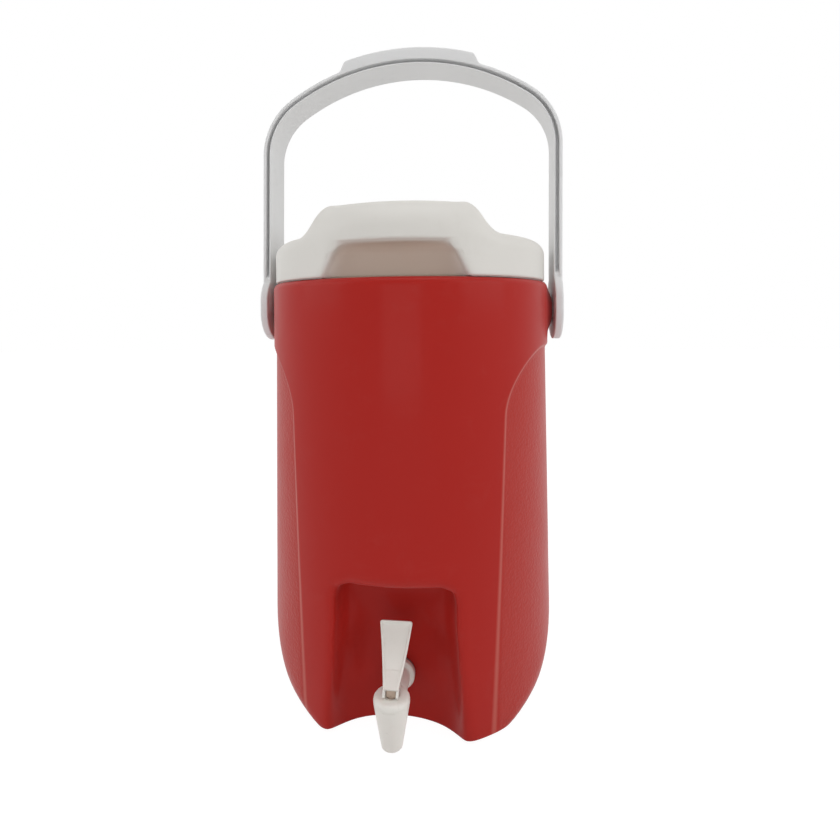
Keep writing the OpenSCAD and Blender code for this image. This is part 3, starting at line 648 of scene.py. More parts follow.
def body_plan(sizes, height, grow=0.0, thin=0.0):
    """Plan of the body at a height, with the alcove's hollow in front, from the back round to the back."""
    line = hollow_line(sizes, height, grow)
    front = float(base_radius(sizes, 0.0, height)) - thin
    line = line[:np.argmax(np.hypot(*line.T) >= front) + 1]
    along = lengths_along(line)
    even = np.linspace(0, along[-1], ALCOVE_POINTS)
    inner = np.column_stack([np.interp(even, along, line[:, 0]), np.interp(even, along, line[:, 1])])
    edge = math.atan2(inner[-1][0], -inner[-1][1])
    angles = edge + (math.pi - edge) * round_shares(math.asin(sizes.alcove_half / sizes.radius))
    halves = []
    for side in (1, -1):
        radius = base_radius(sizes, side * angles, height) - thin
        outer = radius[:, None] * np.column_stack([np.sin(angles), -np.cos(angles)])
        halves.append(np.vstack([inner, outer[1:]]) * (side, 1))
    plan = np.vstack([halves[1][:0:-1], halves[0]])
    up = min(height / (0.5 * sizes.alcove_top), 1.0)
    return softened(plan, sizes.foot_soft + (sizes.alcove_soft - sizes.foot_soft) * up)


def round_shares(edge):
    """Shares of the way from the alcove's edge to the back, closer together where the panels' borders lie."""
    stops = np.radians([math.degrees(edge), 62, 118, 150, 180])
    spans = zip(stops, stops[1:], (60, 50, 36, 15))
    angles = [np.linspace(start, stop, count + 1)[:-1] for start, stop, count in spans]
    angles = np.concatenate([*angles, [math.pi]])
    return (angles - edge) / (math.pi - edge)


def plain_plan(sizes, radius):
    """A circle whose points answer to those of the body's plan."""
    edge = math.asin(sizes.alcove_half / sizes.radius)
    front = np.linspace(0, edge, ALCOVE_POINTS)
    angles = np.concatenate([front, (edge + (math.pi - edge) * round_shares(edge))[1:]])
    half = radius * np.column_stack([np.sin(angles), -np.cos(angles)])
    return np.vstack([half[:0:-1] * (-1, 1), half])


def body_rows(sizes):
    """Rings of the body from the middle of its inner floor, over the rim, to the middle of its base."""
    inside = plain_plan(sizes, sizes.radius - sizes.wall)
    mouth = plain_plan(sizes, sizes.mouth_radius)
    seat = plain_plan(sizes, sizes.seat_radius)
    ledge = sizes.alcove_top + 0.012
    under_rim = sizes.height - 0.008
    seat_floor = sizes.height - sizes.seat_depth
    floor = sizes.wall + 0.001
    middle = np.tile((0.0, 0.01), (len(inside), 1))
    foot = body_plan(sizes, 0.001, sizes.wall, sizes.wall)
    wall = body_plan(sizes, 0.03, sizes.wall, 0.006)
    inner = [
        ring(middle, floor), ring(0.5 * (middle + foot), floor), ring(foot, floor),
        ring(body_plan(sizes, 0.006, sizes.wall, sizes.wall), 0.012), ring(wall, 0.032), ring(wall, ledge),
        ring(inside, ledge + 0.001), ring(inside, under_rim), ring(mouth, under_rim),
        ring(mouth, seat_floor), ring(seat, seat_floor), ring(seat, sizes.height),
    ]
    return inner + outer_rows(sizes)[::-1] + [ring(middle, 0.0)]


def outer_rows(sizes):
    """Rings of the body's outside from the base up to the rim."""
    rows = []
    base_heights = (
        0.0, 0.0001, 0.0003, 0.0007, 0.0013, 0.0021, 0.0032, 0.0046, 0.0063, 0.0085, 0.011, 0.014, 0.0175,
        0.0215, 0.026, 0.031, 0.0365, 0.0425, 0.049, 0.056,
    )
    for height in base_heights:
        left = max(sizes.alcove_foot - height, 0)
        grow = sizes.alcove_foot - math.sqrt(sizes.alcove_foot ** 2 - left ** 2)
        rows.append(ring(body_plan(sizes, height, grow), height))
    circle = plain_plan(sizes, sizes.radius)
    plan = body_plan(sizes, sizes.alcove_top)
    across = np.abs(plan[:, 0])
    corner = np.clip(across - sizes.alcove_head + sizes.alcove_corner, 0, sizes.alcove_corner)
    ceiling = sizes.alcove_top - sizes.alcove_corner + np.sqrt(sizes.alcove_corner ** 2 - corner ** 2)
    low = ceiling - CEILING_BELOW
    high = ceiling + CEILING_ABOVE
    start = sizes.base_side + 0.001
    for share in np.linspace(0, 1, 8)[:-1]:
        level = body_plan(sizes, start + share * (sizes.alcove_top - CEILING_BELOW - start))
        rows.append(ring(level, start + share * (low - start)))
    depth = np.hypot(*(plan - circle).T)
    shares, heights = overhang(depth, low, ceiling, high, 38, sizes.alcove_soft)
    for share, height in zip(shares, heights):
        rows.append(ring(circle + share[:, None] * (plan - circle), height))
    corner_low = 0.224
    corner_high = 0.286
    for share in np.linspace(0, 1, 22)[1:]:
        rows.append(ring(circle, high + share * (corner_low - high)))
    for height in np.linspace(corner_low, corner_high, 42)[1:]:
        rows.append(ring(circle, height))
    for height in np.linspace(corner_high, sizes.height - sizes.rim_round, 18)[1:]:
        rows.append(ring(circle, height))
    for turn in np.linspace(0, 0.5 * math.pi, 7)[1:]:
        radius = sizes.radius - sizes.rim_round * (1 - math.cos(turn))
        height = sizes.height - sizes.rim_round * (1 - math.sin(turn))
        rows.append(ring(plain_plan(sizes, radius), height))
    return [side_forms(sizes, row) for row in rows]


def insulation_rows(sizes):
    """Rings of the foam between the body's wall and the pot, from its underside up and down to its floor."""
    gap = sizes.wall + 0.0008
    thick = 0.0178
    bottom = 0.0058
    floor = 0.0165
    ledge = sizes.alcove_top + 0.0128
    rim = sizes.height - 0.0086
    inside = plain_plan(sizes, sizes.radius - gap)
    pot = plain_plan(sizes, SHELL_TOP[1] - thick)
    middle = np.tile((0.0, 0.01), (len(inside), 1))
    wall = body_plan(sizes, 0.03, gap, 0.0068)
    core = body_plan(sizes, 0.05, thick, thick)
    return [
        ring(middle, bottom), ring(body_plan(sizes, 0.001, gap, gap), bottom),
        ring(body_plan(sizes, 0.006, gap, gap), 0.0125), ring(wall, 0.033), ring(wall, ledge),
        ring(inside, ledge + 0.001), ring(inside, rim), ring(pot, rim), ring(pot, ledge + 0.018),
        ring(core, ledge + 0.016), ring(core, floor), ring(middle, floor),
    ]


def red_finish():
    """Red moulded plastic, smooth in front and pebbled on the side panels, with a painted highlight along the
    borders round them.
    """
    material = plastic("red_moulded")
    tree = material.node_tree
    shader = tree.nodes["Principled BSDF"]
    shader.inputs["Sheen Weight"].default_value = 0.08
    shader.inputs["Sheen Roughness"].default_value = 0.4
    shader.inputs["Coat Weight"].default_value = 0.1
    shader.inputs["Coat Roughness"].default_value = 0.15
    smooth_skin = shader.inputs["Normal"].links[0].from_socket
    plain = shader.inputs["Base Color"].links[0].from_socket
    place = node(tree, "ShaderNodeTexCoord").outputs["Object"]
    inset = node(tree, "ShaderNodeAttribute", attribute_name="inset").outputs["Fac"]
    panel = spread(tree, inset, 0.0005, 0.003)
    pebble = node(tree, "ShaderNodeTexVoronoi", {
        "Vector": place, "Scale": 520.0, "Smoothness": 0.6,
    }, feature="SMOOTH_F1").outputs["Distance"]
    coarse = noise(tree, place, 190.0, 3.0, 0.6)
    height = combined(tree, "MULTIPLY", combined(tree, "ADD", pebble, coarse), panel)
    bump = node(tree, "ShaderNodeBump", {
        "Height": height, "Normal": smooth_skin, "Strength": 0.4, "Distance": 0.0007,
    })
    # A paler tint over the pebbled side panels.
    paler_panels = blended(tree, combined(tree, "MULTIPLY", panel, 0.3), plain, (0.47, 0.085, 0.07, 1))
    # Painted highlight: a pale pink line along the panels' borders, where the step's edge catches the light.
    off_border = node(tree, "ShaderNodeMath", {0: combined(tree, "ADD", inset, 0.0002)}, operation="ABSOLUTE")
    border = spread(tree, off_border.outputs[0], 0.0004, 0.0018, 0.4, 0.0)
    painted_border_highlight = blended(tree, border, paler_panels, (0.60, 0.20, 0.16, 1))
    tree.links.new(bump.outputs["Normal"], shader.inputs["Normal"])
    tree.links.new(painted_border_highlight, shader.inputs["Base Color"])
    return material


class JUG_OT_body(Operator):
    """Builds the red body with its alcove, side panels and pivot bosses"""

    bl_idname = "jug.body"
    bl_label = "Body"

    def execute(self, context):
        sizes = context.scene.jug_body
        body = laid_sheet("body_shell", body_rows(sizes))
        low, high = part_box("fill_plug")
        centre = (0.5 * (low[0] + high[0]), 0.5 * (low[1] + high[1]), 0.0)
        hole = 0.5 * (high[0] - low[0]) + 0.0002
        hole_top = 0.0035
        outline = [(0, -0.002), (hole, -0.002), (hole, hole_top), (0, hole_top)]
        cut_or_join(body, spun("plug_hole", outline, centre, (0, 0, 1), 40), "DIFFERENCE")
        smooth(body)
        x, y, z = piece_points(body).T
        beside = np.abs(x) > SIDE_SHARE * sizes.radius
        mark_points(body, "inset", np.where(beside, panel_inset(sizes, y, z), -0.02))
        hand_over(body, "jug", "outer_shell", red_finish())
        foam = laid_sheet("body_insulation", insulation_rows(sizes))
        smooth(foam)
        hand_over(foam, "jug", "foam_fill", plastic("rigid_foam"))
        return {"FINISHED"}


def lid_plan(radius, half, back):
    """Plan of the lid with a recess in front and behind, from the left side round to the left side."""
    wall = np.column_stack([np.linspace(0, half, 21), np.full(21, -back)])
    edge = math.asin(half / radius)
    side = np.column_stack([np.full(9, half), np.linspace(-back, -radius * math.cos(edge), 9)])
    angles = lid_angles(edge)
    outer = radius * np.column_stack([np.sin(angles), -np.cos(angles)])
    return mirrored_plan(np.vstack([wall, side[1:], outer[1:]]))


def lid_angles(edge):
    """Angles from a recess's edge to the lid's side, closer together near the bar."""
    near = np.linspace(edge, math.radians(48), 36)
    return np.concatenate([near, np.linspace(math.radians(48), 0.5 * math.pi, 19)[1:]])


def lid_circle(radius, edge):
    """A circle whose points answer to those of the lid's plan."""
    angles = np.concatenate([np.linspace(0, edge, 29), lid_angles(edge)[1:]])
    return mirrored_plan(radius * np.column_stack([np.sin(angles), -np.cos(angles)]))


def mirrored_plan(quarter):
    """A closed plan from the quarter at the front right."""
    front = np.vstack([quarter[:0:-1] * (-1, 1), quarter])
    back = front[::-1] * (1, -1)
    return np.vstack([front, back[1:]])


def lid_rise(sizes, across):
    """Share of the bar's height at a place across it: straight slopes with softened ends."""
    away = np.abs(across)[..., None] + np.linspace(-sizes.bar_soft, sizes.bar_soft, 31)
    return 1 - np.clip((away - sizes.bar_half) / (sizes.bar_foot - sizes.bar_half), 0, 1).mean(axis=-1)


def lid_height(sizes, spots):
    """Height of the lid's top at places in plan: the bar, and shoulders that fall towards the lid's side."""
    out = np.hypot(*spots.T)
    shoulder = sizes.shoulder - sizes.shoulder_drop * smoothstep(0.5 * sizes.radius, sizes.radius, out)
    return shoulder + (sizes.top - shoulder) * lid_rise(sizes, spots[:, 0])


def lid_rows(sizes, inset, fine):
    """Rings up one face of the lid's wall and in to the middle of its top."""
    radius = sizes.radius - inset
    back = sizes.recess_back - inset
    corner = sizes.recess_top + inset
    edge = math.asin((sizes.recess_half_top + inset) / radius)
    foot_plan = softened(lid_plan(radius, sizes.recess_half_foot + inset, back), sizes.recess_soft)
    head_plan = softened(lid_plan(radius, sizes.recess_half_top + inset, back), sizes.recess_soft)
    circle = lid_circle(radius, edge)
    rim_share = lid_rise(sizes, circle[:, 0])
    rounding = sizes.shoulder_round + (sizes.end_round - sizes.shoulder_round) * rim_share - inset
    rim_top = lid_height(sizes, circle) - inset
    wall_top = rim_top - rounding
    overhang_low = 0.336
    overhang_high = 0.357
    low = np.full(len(circle), overhang_low)
    high = np.minimum(overhang_high, wall_top - 0.001)
    depth = np.hypot(*(head_plan - circle).T)
    ceiling = np.where(depth > 0.0003, corner, 0.5 * (low + high))

    def plan_at(height):
        share = np.clip((height - sizes.bottom) / (corner - sizes.bottom), 0, 1)[:, None]
        return foot_plan + share * (head_plan - foot_plan)

    rows = []
    edge_round = 0.0018 if fine else 0.0
    for turn in np.linspace(0, 0.5 * math.pi, 6)[:-1] if fine else ():
        height = sizes.bottom + edge_round * (1 - math.cos(turn))
        narrow = 1 - edge_round * (1 - math.sin(turn)) / radius
        rows.append(ring(narrow * plan_at(np.full(len(circle), height)), height))
    for height in np.linspace(sizes.bottom + edge_round, overhang_low, 8 if fine else 3)[:-1]:
        rows.append(ring(plan_at(np.full(len(circle), height)), height))
    shares, heights = overhang(depth, low, ceiling, high, 30 if fine else 12, sizes.recess_soft)
    for share, height in zip(shares, heights):
        rows.append(ring(circle + share[:, None] * (plan_at(height) - circle), height))
    for share in np.linspace(0, 1, 4)[1:]:
        rows.append(ring(circle, high + share * (wall_top - high)))
    way = circle / radius
    for turn in np.linspace(0, 0.5 * math.pi, 15 if fine else 6)[1:]:
        out = radius - rounding * (1 - math.cos(turn))
        spot = way * out[:, None]
        rows.append(ring(spot, lid_height(sizes, spot) - inset - rounding * (1 - math.sin(turn))))
    start = radius - rounding
    for share in np.linspace(1, 0, 46 if fine else 16)[1:]:
        spot = way * (start * share)[:, None]
        rows.append(ring(spot, lid_height(sizes, spot) - inset))
    return rows


def turned(rows, turn):
    """Rings of points turned about the lid's axis."""
    points = np.array(rows)
    turning = [[math.cos(turn), math.sin(turn)], [-math.sin(turn), math.cos(turn)]]
    points[..., :2] = points[..., :2] @ np.array(turning)
    return points


class JUG_OT_lid(Operator):
    """Builds the white lid with its raised bar and finger recesses"""

    bl_idname = "jug.lid"
    bl_label = "Lid"

    def execute(self, context):
        sizes = context.scene.jug_lid
        inner = lid_rows(sizes, sizes.wall, False)[::-1]
        lid = laid_sheet("lid_top", turned(inner + lid_rows(sizes, 0, True), sizes.turn))
        smooth(lid)
        x, y, z = piece_points(lid).T
        # How far into a finger recess each point lies, below the recess ceiling: the mask for the lid's
        # painted shade.
        deep = smoothstep(0.002, 0.014, sizes.radius - np.hypot(x, y))
        mark_points(lid, "recess", deep * (z < sizes.recess_top + 0.0005))
        hand_over(lid, "lid", "lid_cover", lid_finish())
        clear = 0.0004
        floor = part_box("lid_foam")[0][2]
        upper = np.array(lid_rows(sizes, sizes.wall + clear, False))
        upper[..., 2] = np.maximum(upper[..., 2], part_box("lid_liner")[1][2] + clear)
        way = upper[0][:, :2] / np.hypot(*upper[0][:, :2].T)[:, None]
        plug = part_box("lid_gasket")[1][0] - 0.0072
        lower = [ring(way * 0.0, floor), ring(way * plug, floor), ring(way * plug, upper[0][:, 2])]
        foam = laid_sheet("lid_insulation", turned(lower + list(upper), sizes.turn))
        smooth(foam)
        hand_over(foam, "lid", "lid_foam", plastic("rigid_foam"))
        return {"FINISHED"}


def bail_path(sizes, pivot):
    """Points along the bail's inner face from the right pivot to the left one, and the outward ways there."""
    crown_centre = pivot + sizes.crown_rise - sizes.crown_radius
    corner_x = sizes.leg_inside - sizes.corner_radius
    gap = sizes.crown_radius - sizes.corner_radius
    corner_centre = crown_centre + math.sqrt(gap ** 2 - corner_x ** 2)
    meet = math.atan2(corner_centre - crown_centre, corner_x)
    points = []
    ways = []
    start_low = 0.329
    start_high = 0.346
    heights = np.concatenate([
        np.linspace(pivot, start_low, 5)[:-1], np.linspace(start_low, start_high, 16)[:-1],
        np.linspace(start_high, corner_centre, 14)[:-1],
    ])
    for height in heights:
        points.append((sizes.leg_inside, height))
        ways.append((1.0, 0.0))
    for turn in np.linspace(0, meet, 20)[:-1]:
        way = (math.cos(turn), math.sin(turn))
        points.append((corner_x + sizes.corner_radius * way[0], corner_centre + sizes.corner_radius * way[1]))
        ways.append(way)
    grip_turn = 0.5 * math.pi - sizes.grip_half / sizes.crown_radius
    ramp_turn = sizes.grip_ramp / sizes.crown_radius
    turns = np.concatenate([
        np.linspace(meet, grip_turn - ramp_turn, 10)[:-1],
        np.linspace(grip_turn - ramp_turn, grip_turn + 0.5 * ramp_turn, 16)[:-1],
        np.linspace(grip_turn + 0.5 * ramp_turn, 0.5 * math.pi, 16),
    ])
    for turn in turns:
        way = (math.cos(turn), math.sin(turn))
        points.append((sizes.crown_radius * way[0], crown_centre + sizes.crown_radius * way[1]))
        ways.append(way)
    points = np.array(points)
    ways = np.array(ways)
    return np.vstack([points, points[-2::-1] * (-1, 1)]), np.vstack([ways, ways[-2::-1] * (-1, 1)])


def bail_section(sizes, grip, groove):
    """Outline of the strap as (outwards, across), with a groove in front and behind."""
    half = sizes.half_depth
    top = sizes.strap + grip
    under = sizes.strap - sizes.outer_flange
    ease = min(1.0, groove / 0.002)
    side = [
        (top, half, 0.0016), (under, half, 0.0006 * ease), (under, half - groove, 0.0005 * ease),
        (sizes.inner_flange, half - groove, 0.0005 * ease), (sizes.inner_flange, half, 0.0003 * ease),
        (0.0, half, 0.0005),
    ]
    other = [(out, -across, radius) for out, across, radius in reversed(side)]
    return eased_outline(side + other, closed=True)


def bail_rows(sizes, pivot):
    """Sections of the strap along the bail, closed at both ends."""
    points, ways = bail_path(sizes, pivot)
    rows = []
    for point, way in zip(points, ways):
        off_middle = abs(math.atan2(way[0], way[1])) * sizes.crown_radius
        grip = sizes.grip_rise * (1 - smoothstep(sizes.grip_half - 0.5 * sizes.grip_ramp,
                                                 sizes.grip_half + 0.5 * sizes.grip_ramp, off_middle))
        start = smoothstep(sizes.groove_foot - 0.005, sizes.groove_foot + 0.004, point[1])
        section = bail_section(sizes, grip, 0.00005 + sizes.groove_deep * start)
        section = np.vstack([section, section[:1]])
        shift = math.tan(sizes.lean) * max(point[1] - sizes.groove_foot, 0)
        rows.append(np.column_stack([
            point[0] + shift + way[0] * section[:, 0], section[:, 1], point[1] + way[1] * section[:, 0],
        ]))
    for end in (0, -1):
        cap = np.tile(rows[end].mean(axis=0), (len(rows[end]), 1))
        rows = [cap] + rows if end == 0 else rows + [cap]
    return rows


def ear_rows(sizes, side, pivot):
    """Rings across one ear, whose outline runs round the pivot and round a centre above it."""
    inner = sizes.leg_inside + EAR_STEP
    outer = inner + sizes.ear_thick
    corners = [
        (0, inner, 0), (sizes.ear_radius, inner, 0.001), (sizes.ear_radius, outer, 0.0018), (0, outer, 0),
    ]
    turns = np.linspace(0, 2 * math.pi, 97)
    lift = np.where(np.sin(turns) > 0, sizes.ear_rise, 0)
    rows = []
    for radius, along in eased_outline(corners):
        heights = pivot + lift + radius * np.sin(turns)
        rows.append(np.column_stack([np.full(len(turns), side * along), radius * np.cos(turns), heights]))
    return rows


class JUG_OT_bail(Operator):
    """Builds the carrying bail with its grip, grooves and round ears"""

    bl_idname = "jug.bail"
    bl_label = "Bail"

    def execute(self, context):
        sizes = context.scene.jug_bail
        pivot = context.scene.jug_body.boss_height
        bail = laid_sheet("bail_strap", bail_rows(sizes, pivot))
        inner = sizes.leg_inside + EAR_STEP
        outer = sizes.leg_inside + sizes.ear_thick
        for side in (1, -1):
            cut_or_join(bail, laid_sheet("ear", ear_rows(sizes, side, pivot)), "UNION")
            floor = outer - sizes.head_depth
            hole = [
                (0, inner - 0.002), (sizes.pin_radius, inner - 0.002), (sizes.pin_radius, floor),
                (sizes.head_radius, floor), (sizes.head_radius, outer + 0.002), (0, outer + 0.002),
            ]
            cut_or_join(bail, spun("pin_hole", hole, (0, 0, pivot), (side, 0, 0), 48), "DIFFERENCE")
        smooth(bail)
        hand_over(bail, "bail", "bail_handle", plastic("bail_satin"))
        return {"FINISHED"}


class JUG_OT_tap(Operator):
    """Builds the tap's barrel, spout, shank and flange, and its bonnet"""

    bl_idname = "jug.tap"
    bl_label = "Tap"

    def execute(self, context):
        sizes = context.scene.jug_tap
        axis = (0, sizes.axis_y, 0)
        seat = 0.0235
        socket = 0.0085
        socket_floor = sizes.barrel_top - 0.004
        outline = eased_outline([
            (0, seat, 0), (sizes.bore, seat, 0), (sizes.bore, sizes.spout_foot, 0.0006),
            (sizes.spout_radius, sizes.spout_foot, 0.0009), (sizes.barrel_radius, sizes.barrel_top, 0.0003),
            (socket, sizes.barrel_top, 0), (socket, socket_floor, 0), (0, socket_floor, 0),
        ])
        tap = spun("tap_barrel", outline, axis, (0, 0, 1), 72)
        flange_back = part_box("flange_washer")[0][1]
        flange_front = flange_back - sizes.flange_thick
        shank_start = sizes.axis_y + 0.004
        shank_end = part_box("tap_body")[1][1]
        shank = eased_outline([
            (0, shank_start, 0), (sizes.shank_radius, shank_start, 0),
            (sizes.shank_radius, flange_front, 0.0012), (sizes.flange_radius, flange_front, 0.0012),
            (sizes.flange_radius, flange_back, 0.0002), (sizes.shank_radius, flange_back, 0),
            (sizes.shank_radius, shank_end, 0), (0, shank_end, 0),
        ])
        cut_or_join(tap, spun("shank", shank, (0, 0, sizes.shank_height), (0, 1, 0), 64), "UNION")
        smooth(tap)
        hand_over(tap, "jug", "tap_body", plastic("tap_gloss"))
        stem_hole = 0.0037
        well = sizes.bonnet_top - 0.0008
        cap = eased_outline([
            (stem_hole, sizes.bonnet_low, 0), (sizes.barrel_radius, sizes.bonnet_low, 0.0003),
            (sizes.barrel_radius, sizes.bonnet_top, sizes.bonnet_round), (0.0058, sizes.bonnet_top, 0.0005),
            (0.0050, well, 0.0003), (stem_hole, well, 0), (stem_hole, sizes.bonnet_low, 0),
        ])
        bonnet = spun("bonnet_cap", cap, axis, (0, 0, 1), 72)
        smooth(bonnet)
        hand_over(bonnet, "jug", "tap_bonnet", plastic("tap_gloss"))
        return {"FINISHED"}


def lever_line(sizes, shares):
    """Places behind and above the pin along the lever's front face, and the ways that it looks there."""
    foot = np.array([-sizes.foot_front, sizes.foot_rise])
    tip = np.array([sizes.tip_behind, sizes.tip_rise])
    chord = tip - foot
    half = 0.5 * np.linalg.norm(chord)
    radius = (half ** 2 + sizes.lever_bow ** 2) / (2 * sizes.lever_bow)
    front = np.array([-chord[1], chord[0]]) / (2 * half)
    centre = 0.5 * (foot + tip) + front * (radius - sizes.lever_bow)
    first = math.atan2(*(foot - centre)[::-1])
    last = math.atan2(*(tip - centre)[::-1])
    turns = first + np.asarray(shares) * (last - first)
    ways = -np.column_stack([np.cos(turns), np.sin(turns)])
    return centre - radius * ways, ways


def lever_section(sizes, half, thick, dish):
    """Outline of the lever across its length as (across, inwards), with a rim beside its hollow face."""
    slope = half - sizes.lever_rim
    corners = [
        (-half, 0.0, 0.0004), (-slope, 0.0, 0.0004), (-slope + 0.0009, dish, 0.0006),
        (slope - 0.0009, dish, 0.0006), (slope, 0.0, 0.0004), (half, 0.0, 0.0004),
        (half - 0.0003, thick, 0.0005), (-half + 0.0003, thick, 0.0005),
    ]
    outline = eased_outline(corners, closed=True)
    return np.vstack([outline, outline[:1]])


def lever_rows(sizes):
    """Sections of the lever from its foot to its tip, closed at both ends."""
    tip_shares = [0.95, 0.965, 0.978, 0.989, 0.996, 1, 1]
    shares = np.concatenate([[0, 0, 0.012], np.linspace(0.03, 0.93, 40), tip_shares])
    places, ways = lever_line(sizes, shares)
    rows = []
    for share, place, way in zip(shares, places, ways):
        half = sizes.foot_half + (sizes.tip_half - sizes.foot_half) * share
        near_tip = max((share - 0.96) / 0.04, 0)
        half -= 0.0016 * (1 - math.sqrt(max(1 - near_tip ** 2, 0)))
        thick = sizes.foot_thick + (sizes.lever_thick - sizes.foot_thick) * smoothstep(0.1, 0.32, share)
        dish = sizes.lever_dish * smoothstep(0.08, 0.4, share) * (1 - smoothstep(0.945, 0.985, share))
        section = lever_section(sizes, half, thick, dish + 0.00002)
        inwards = section[:, 1]
        rows.append(np.column_stack([
            section[:, 0],
            sizes.axis_y + place[0] - way[0] * inwards,
            sizes.pin_height + place[1] - way[1] * inwards,
        ]))
    rows[0] = np.tile(rows[1].mean(axis=0), (len(rows[1]), 1))
    rows[-1] = np.tile(rows[-2].mean(axis=0), (len(rows[-2]), 1))
    return rows


def fork_arm_rows(sizes, side):
    """One arm of the lever's fork: a thin plate round the pin, with a heel that bears on the bonnet."""
    places, ways = lever_line(sizes, (0.02, 0.3))
    upper, behind = places - 0.0008 * ways
    outline = eased_outline([
        (upper[0], upper[1], 0.0003), (-0.0073, -0.0004, 0.001), (-0.0055, -0.0022, 0.0012),
        (0.0020, -0.0022, 0.0018), (0.0036, 0.0020, 0.0015),
        (behind[0] + 0.0006, behind[1] - 0.0016, 0.0005), (behind[0], behind[1], 0.0003),
    ], closed=True)
    outline = np.vstack([outline, outline[:1]])
    middle = outline.mean(axis=0)
    rows = []
    for across, share in (
        (sizes.arm_inside, 0.0), (sizes.arm_inside, 0.97), (sizes.arm_inside + 0.0002, 1.0),
        (sizes.arm_outside - 0.0002, 1.0), (sizes.arm_outside, 0.97), (sizes.arm_outside, 0.0),
    ):
        shape = middle + share * (outline - middle)
        rows.append(np.column_stack([
            np.full(len(shape), side * across), sizes.axis_y + shape[:, 0], sizes.pin_height + shape[:, 1],
        ]))
    return rows


class JUG_OT_lever(Operator):
    """Builds the tap's lever with its fork, and the valve's stem with its square head"""

    bl_idname = "jug.lever"
    bl_label = "Lever and stem"

    def execute(self, context):
        sizes = context.scene.jug_tap
        lever = laid_sheet("lever_paddle", lever_rows(sizes))
        for side in (1, -1):
            cut_or_join(lever, laid_sheet("fork_arm", fork_arm_rows(sizes, side)), "UNION")
        pin = (0, sizes.axis_y, sizes.pin_height)
        reach = sizes.arm_outside + 0.002
        hole = [(0, -reach), (sizes.pin_hole, -reach), (sizes.pin_hole, reach), (0, reach)]
        cut_or_join(lever, spun("lever_hole", hole, pin, (1, 0, 0), 32), "DIFFERENCE")
        smooth(lever)
        hand_over(lever, "lever", "tap_lever", plastic("tap_gloss"))
        low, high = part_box("valve_stem")
        collar = 0.5 * (high[0] - low[0])
        collar_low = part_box("valve_plug")[1][2] + 0.0002
        collar_high = collar_low + 0.001
        head_low = sizes.bonnet_top - 0.0004
        shaft_top = head_low + 0.001
        outline = eased_outline([
            (0, low[2], 0), (sizes.stem_radius, low[2], 0), (sizes.stem_radius, collar_low, 0),
            (collar, collar_low, 0.0002), (collar, collar_high, 0.0002), (sizes.stem_radius, collar_high, 0),
            (sizes.stem_radius, shaft_top, 0), (0, shaft_top, 0),
        ])
        stem = spun("stem_shaft", outline, (0, sizes.axis_y, 0), (0, 0, 1), 48)
        head_high = sizes.pin_height + sizes.head_rise
        deselect_all()
        bpy.ops.mesh.primitive_cube_add(
            size=1, location=(0, sizes.axis_y, 0.5 * (head_low + head_high)),
            scale=(2 * sizes.head_half, 2 * sizes.head_half - 0.0004, head_high - head_low),
        )
        head = named("stem_head")
        bpy.ops.object.transform_apply(location=True, rotation=True, scale=True)
        rounding = head.modifiers.new(name="edges", type="BEVEL")
        rounding.width = 0.0006
        rounding.segments = 3
        bpy.ops.object.modifier_apply(modifier=rounding.name)
        cut_or_join(stem, head, "UNION")
        smooth(stem)
        hand_over(stem, "valve", "valve_stem", plastic("tan_stem"))
        return {"FINISHED"}


class JUG_OT_finishes(Operator):
    """Gives the solids that stay in view their finishes"""

    bl_idname = "jug.finishes"
    bl_label = "Finishes"

    def execute(self, context):
        finishes = {
            "white_satin": ("inner_liner", "lid_liner"),
            "red_plug": ("fill_plug",),
            "bail_satin": ("pivot_pin_left", "pivot_pin_right"),
            "dark_rubber": ("flange_washer", "inner_washer", "bonnet_seal", "valve_plug", "lid_gasket"),
            "tap_gloss": ("shank_nut",),
            "drawn_steel": ("stem_spring", "lever_pin"),
        }
        for finish, names in finishes.items():
            for name in names:
                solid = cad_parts[name]
                solid.data.materials.clear()
                solid.data.materials.append(plastic(finish))
        return {"FINISHED"}


def sees_white(tree):
    """1 for the rays that see the white background: the camera's, reflected ones and those let through."""
    rays = node(tree, "ShaderNodeLightPath").outputs
    seen = combined(tree, "MAXIMUM", rays["Is Camera Ray"], rays["Is Glossy Ray"])
    return combined(tree, "MAXIMUM", seen, rays["Is Transmission Ray"])


def floor_finish():
    """Pale floor that the camera sees as near white, with the jug's soft shadow."""
    material = bpy.data.materials.new("pale_floor")
    material.use_nodes = True
    tree = material.node_tree
    tree.nodes.clear()
    paper = node(tree, "ShaderNodeBsdfDiffuse", {"Color": (0.9, 0.9, 0.9, 1)})
    glow = node(tree, "ShaderNodeEmission", {"Color": (1, 1, 1, 1), "Strength": 1.12})
    share = combined(tree, "MULTIPLY", sees_white(tree), 0.85)
    mixed = node(tree, "ShaderNodeMixShader", {0: share, 1: paper.outputs[0], 2: glow.outputs[0]})
    node(tree, "ShaderNodeOutputMaterial", {"Surface": mixed.outputs[0]})
    return material


def studio_world():
    """White surroundings for the camera and for reflections, and soft light that is dimmer in front."""
    world = bpy.data.worlds.new("studio")
    bpy.context.scene.world = world
    world.use_nodes = True
    tree = world.node_tree
    tree.nodes.clear()
    place = node(tree, "ShaderNodeTexCoord").outputs["Generated"]
    split = node(tree, "ShaderNodeSeparateXYZ", {"Vector": place})
    level = spread(tree, split.outputs["Y"], -0.9, 0.1, 0.15, 0.7)
    white = node(tree, "ShaderNodeBackground", {"Color": (1, 1, 1, 1), "Strength": 1.0})
    soft = node(tree, "ShaderNodeBackground", {"Color": (1, 1, 1, 1), "Strength": level})
    mixed = node(tree, "ShaderNodeMixShader", {0: sees_white(tree), 1: soft.outputs[0], 2: white.outputs[0]})
    node(tree, "ShaderNodeOutputWorld", {"Surface": mixed.outputs[0]})


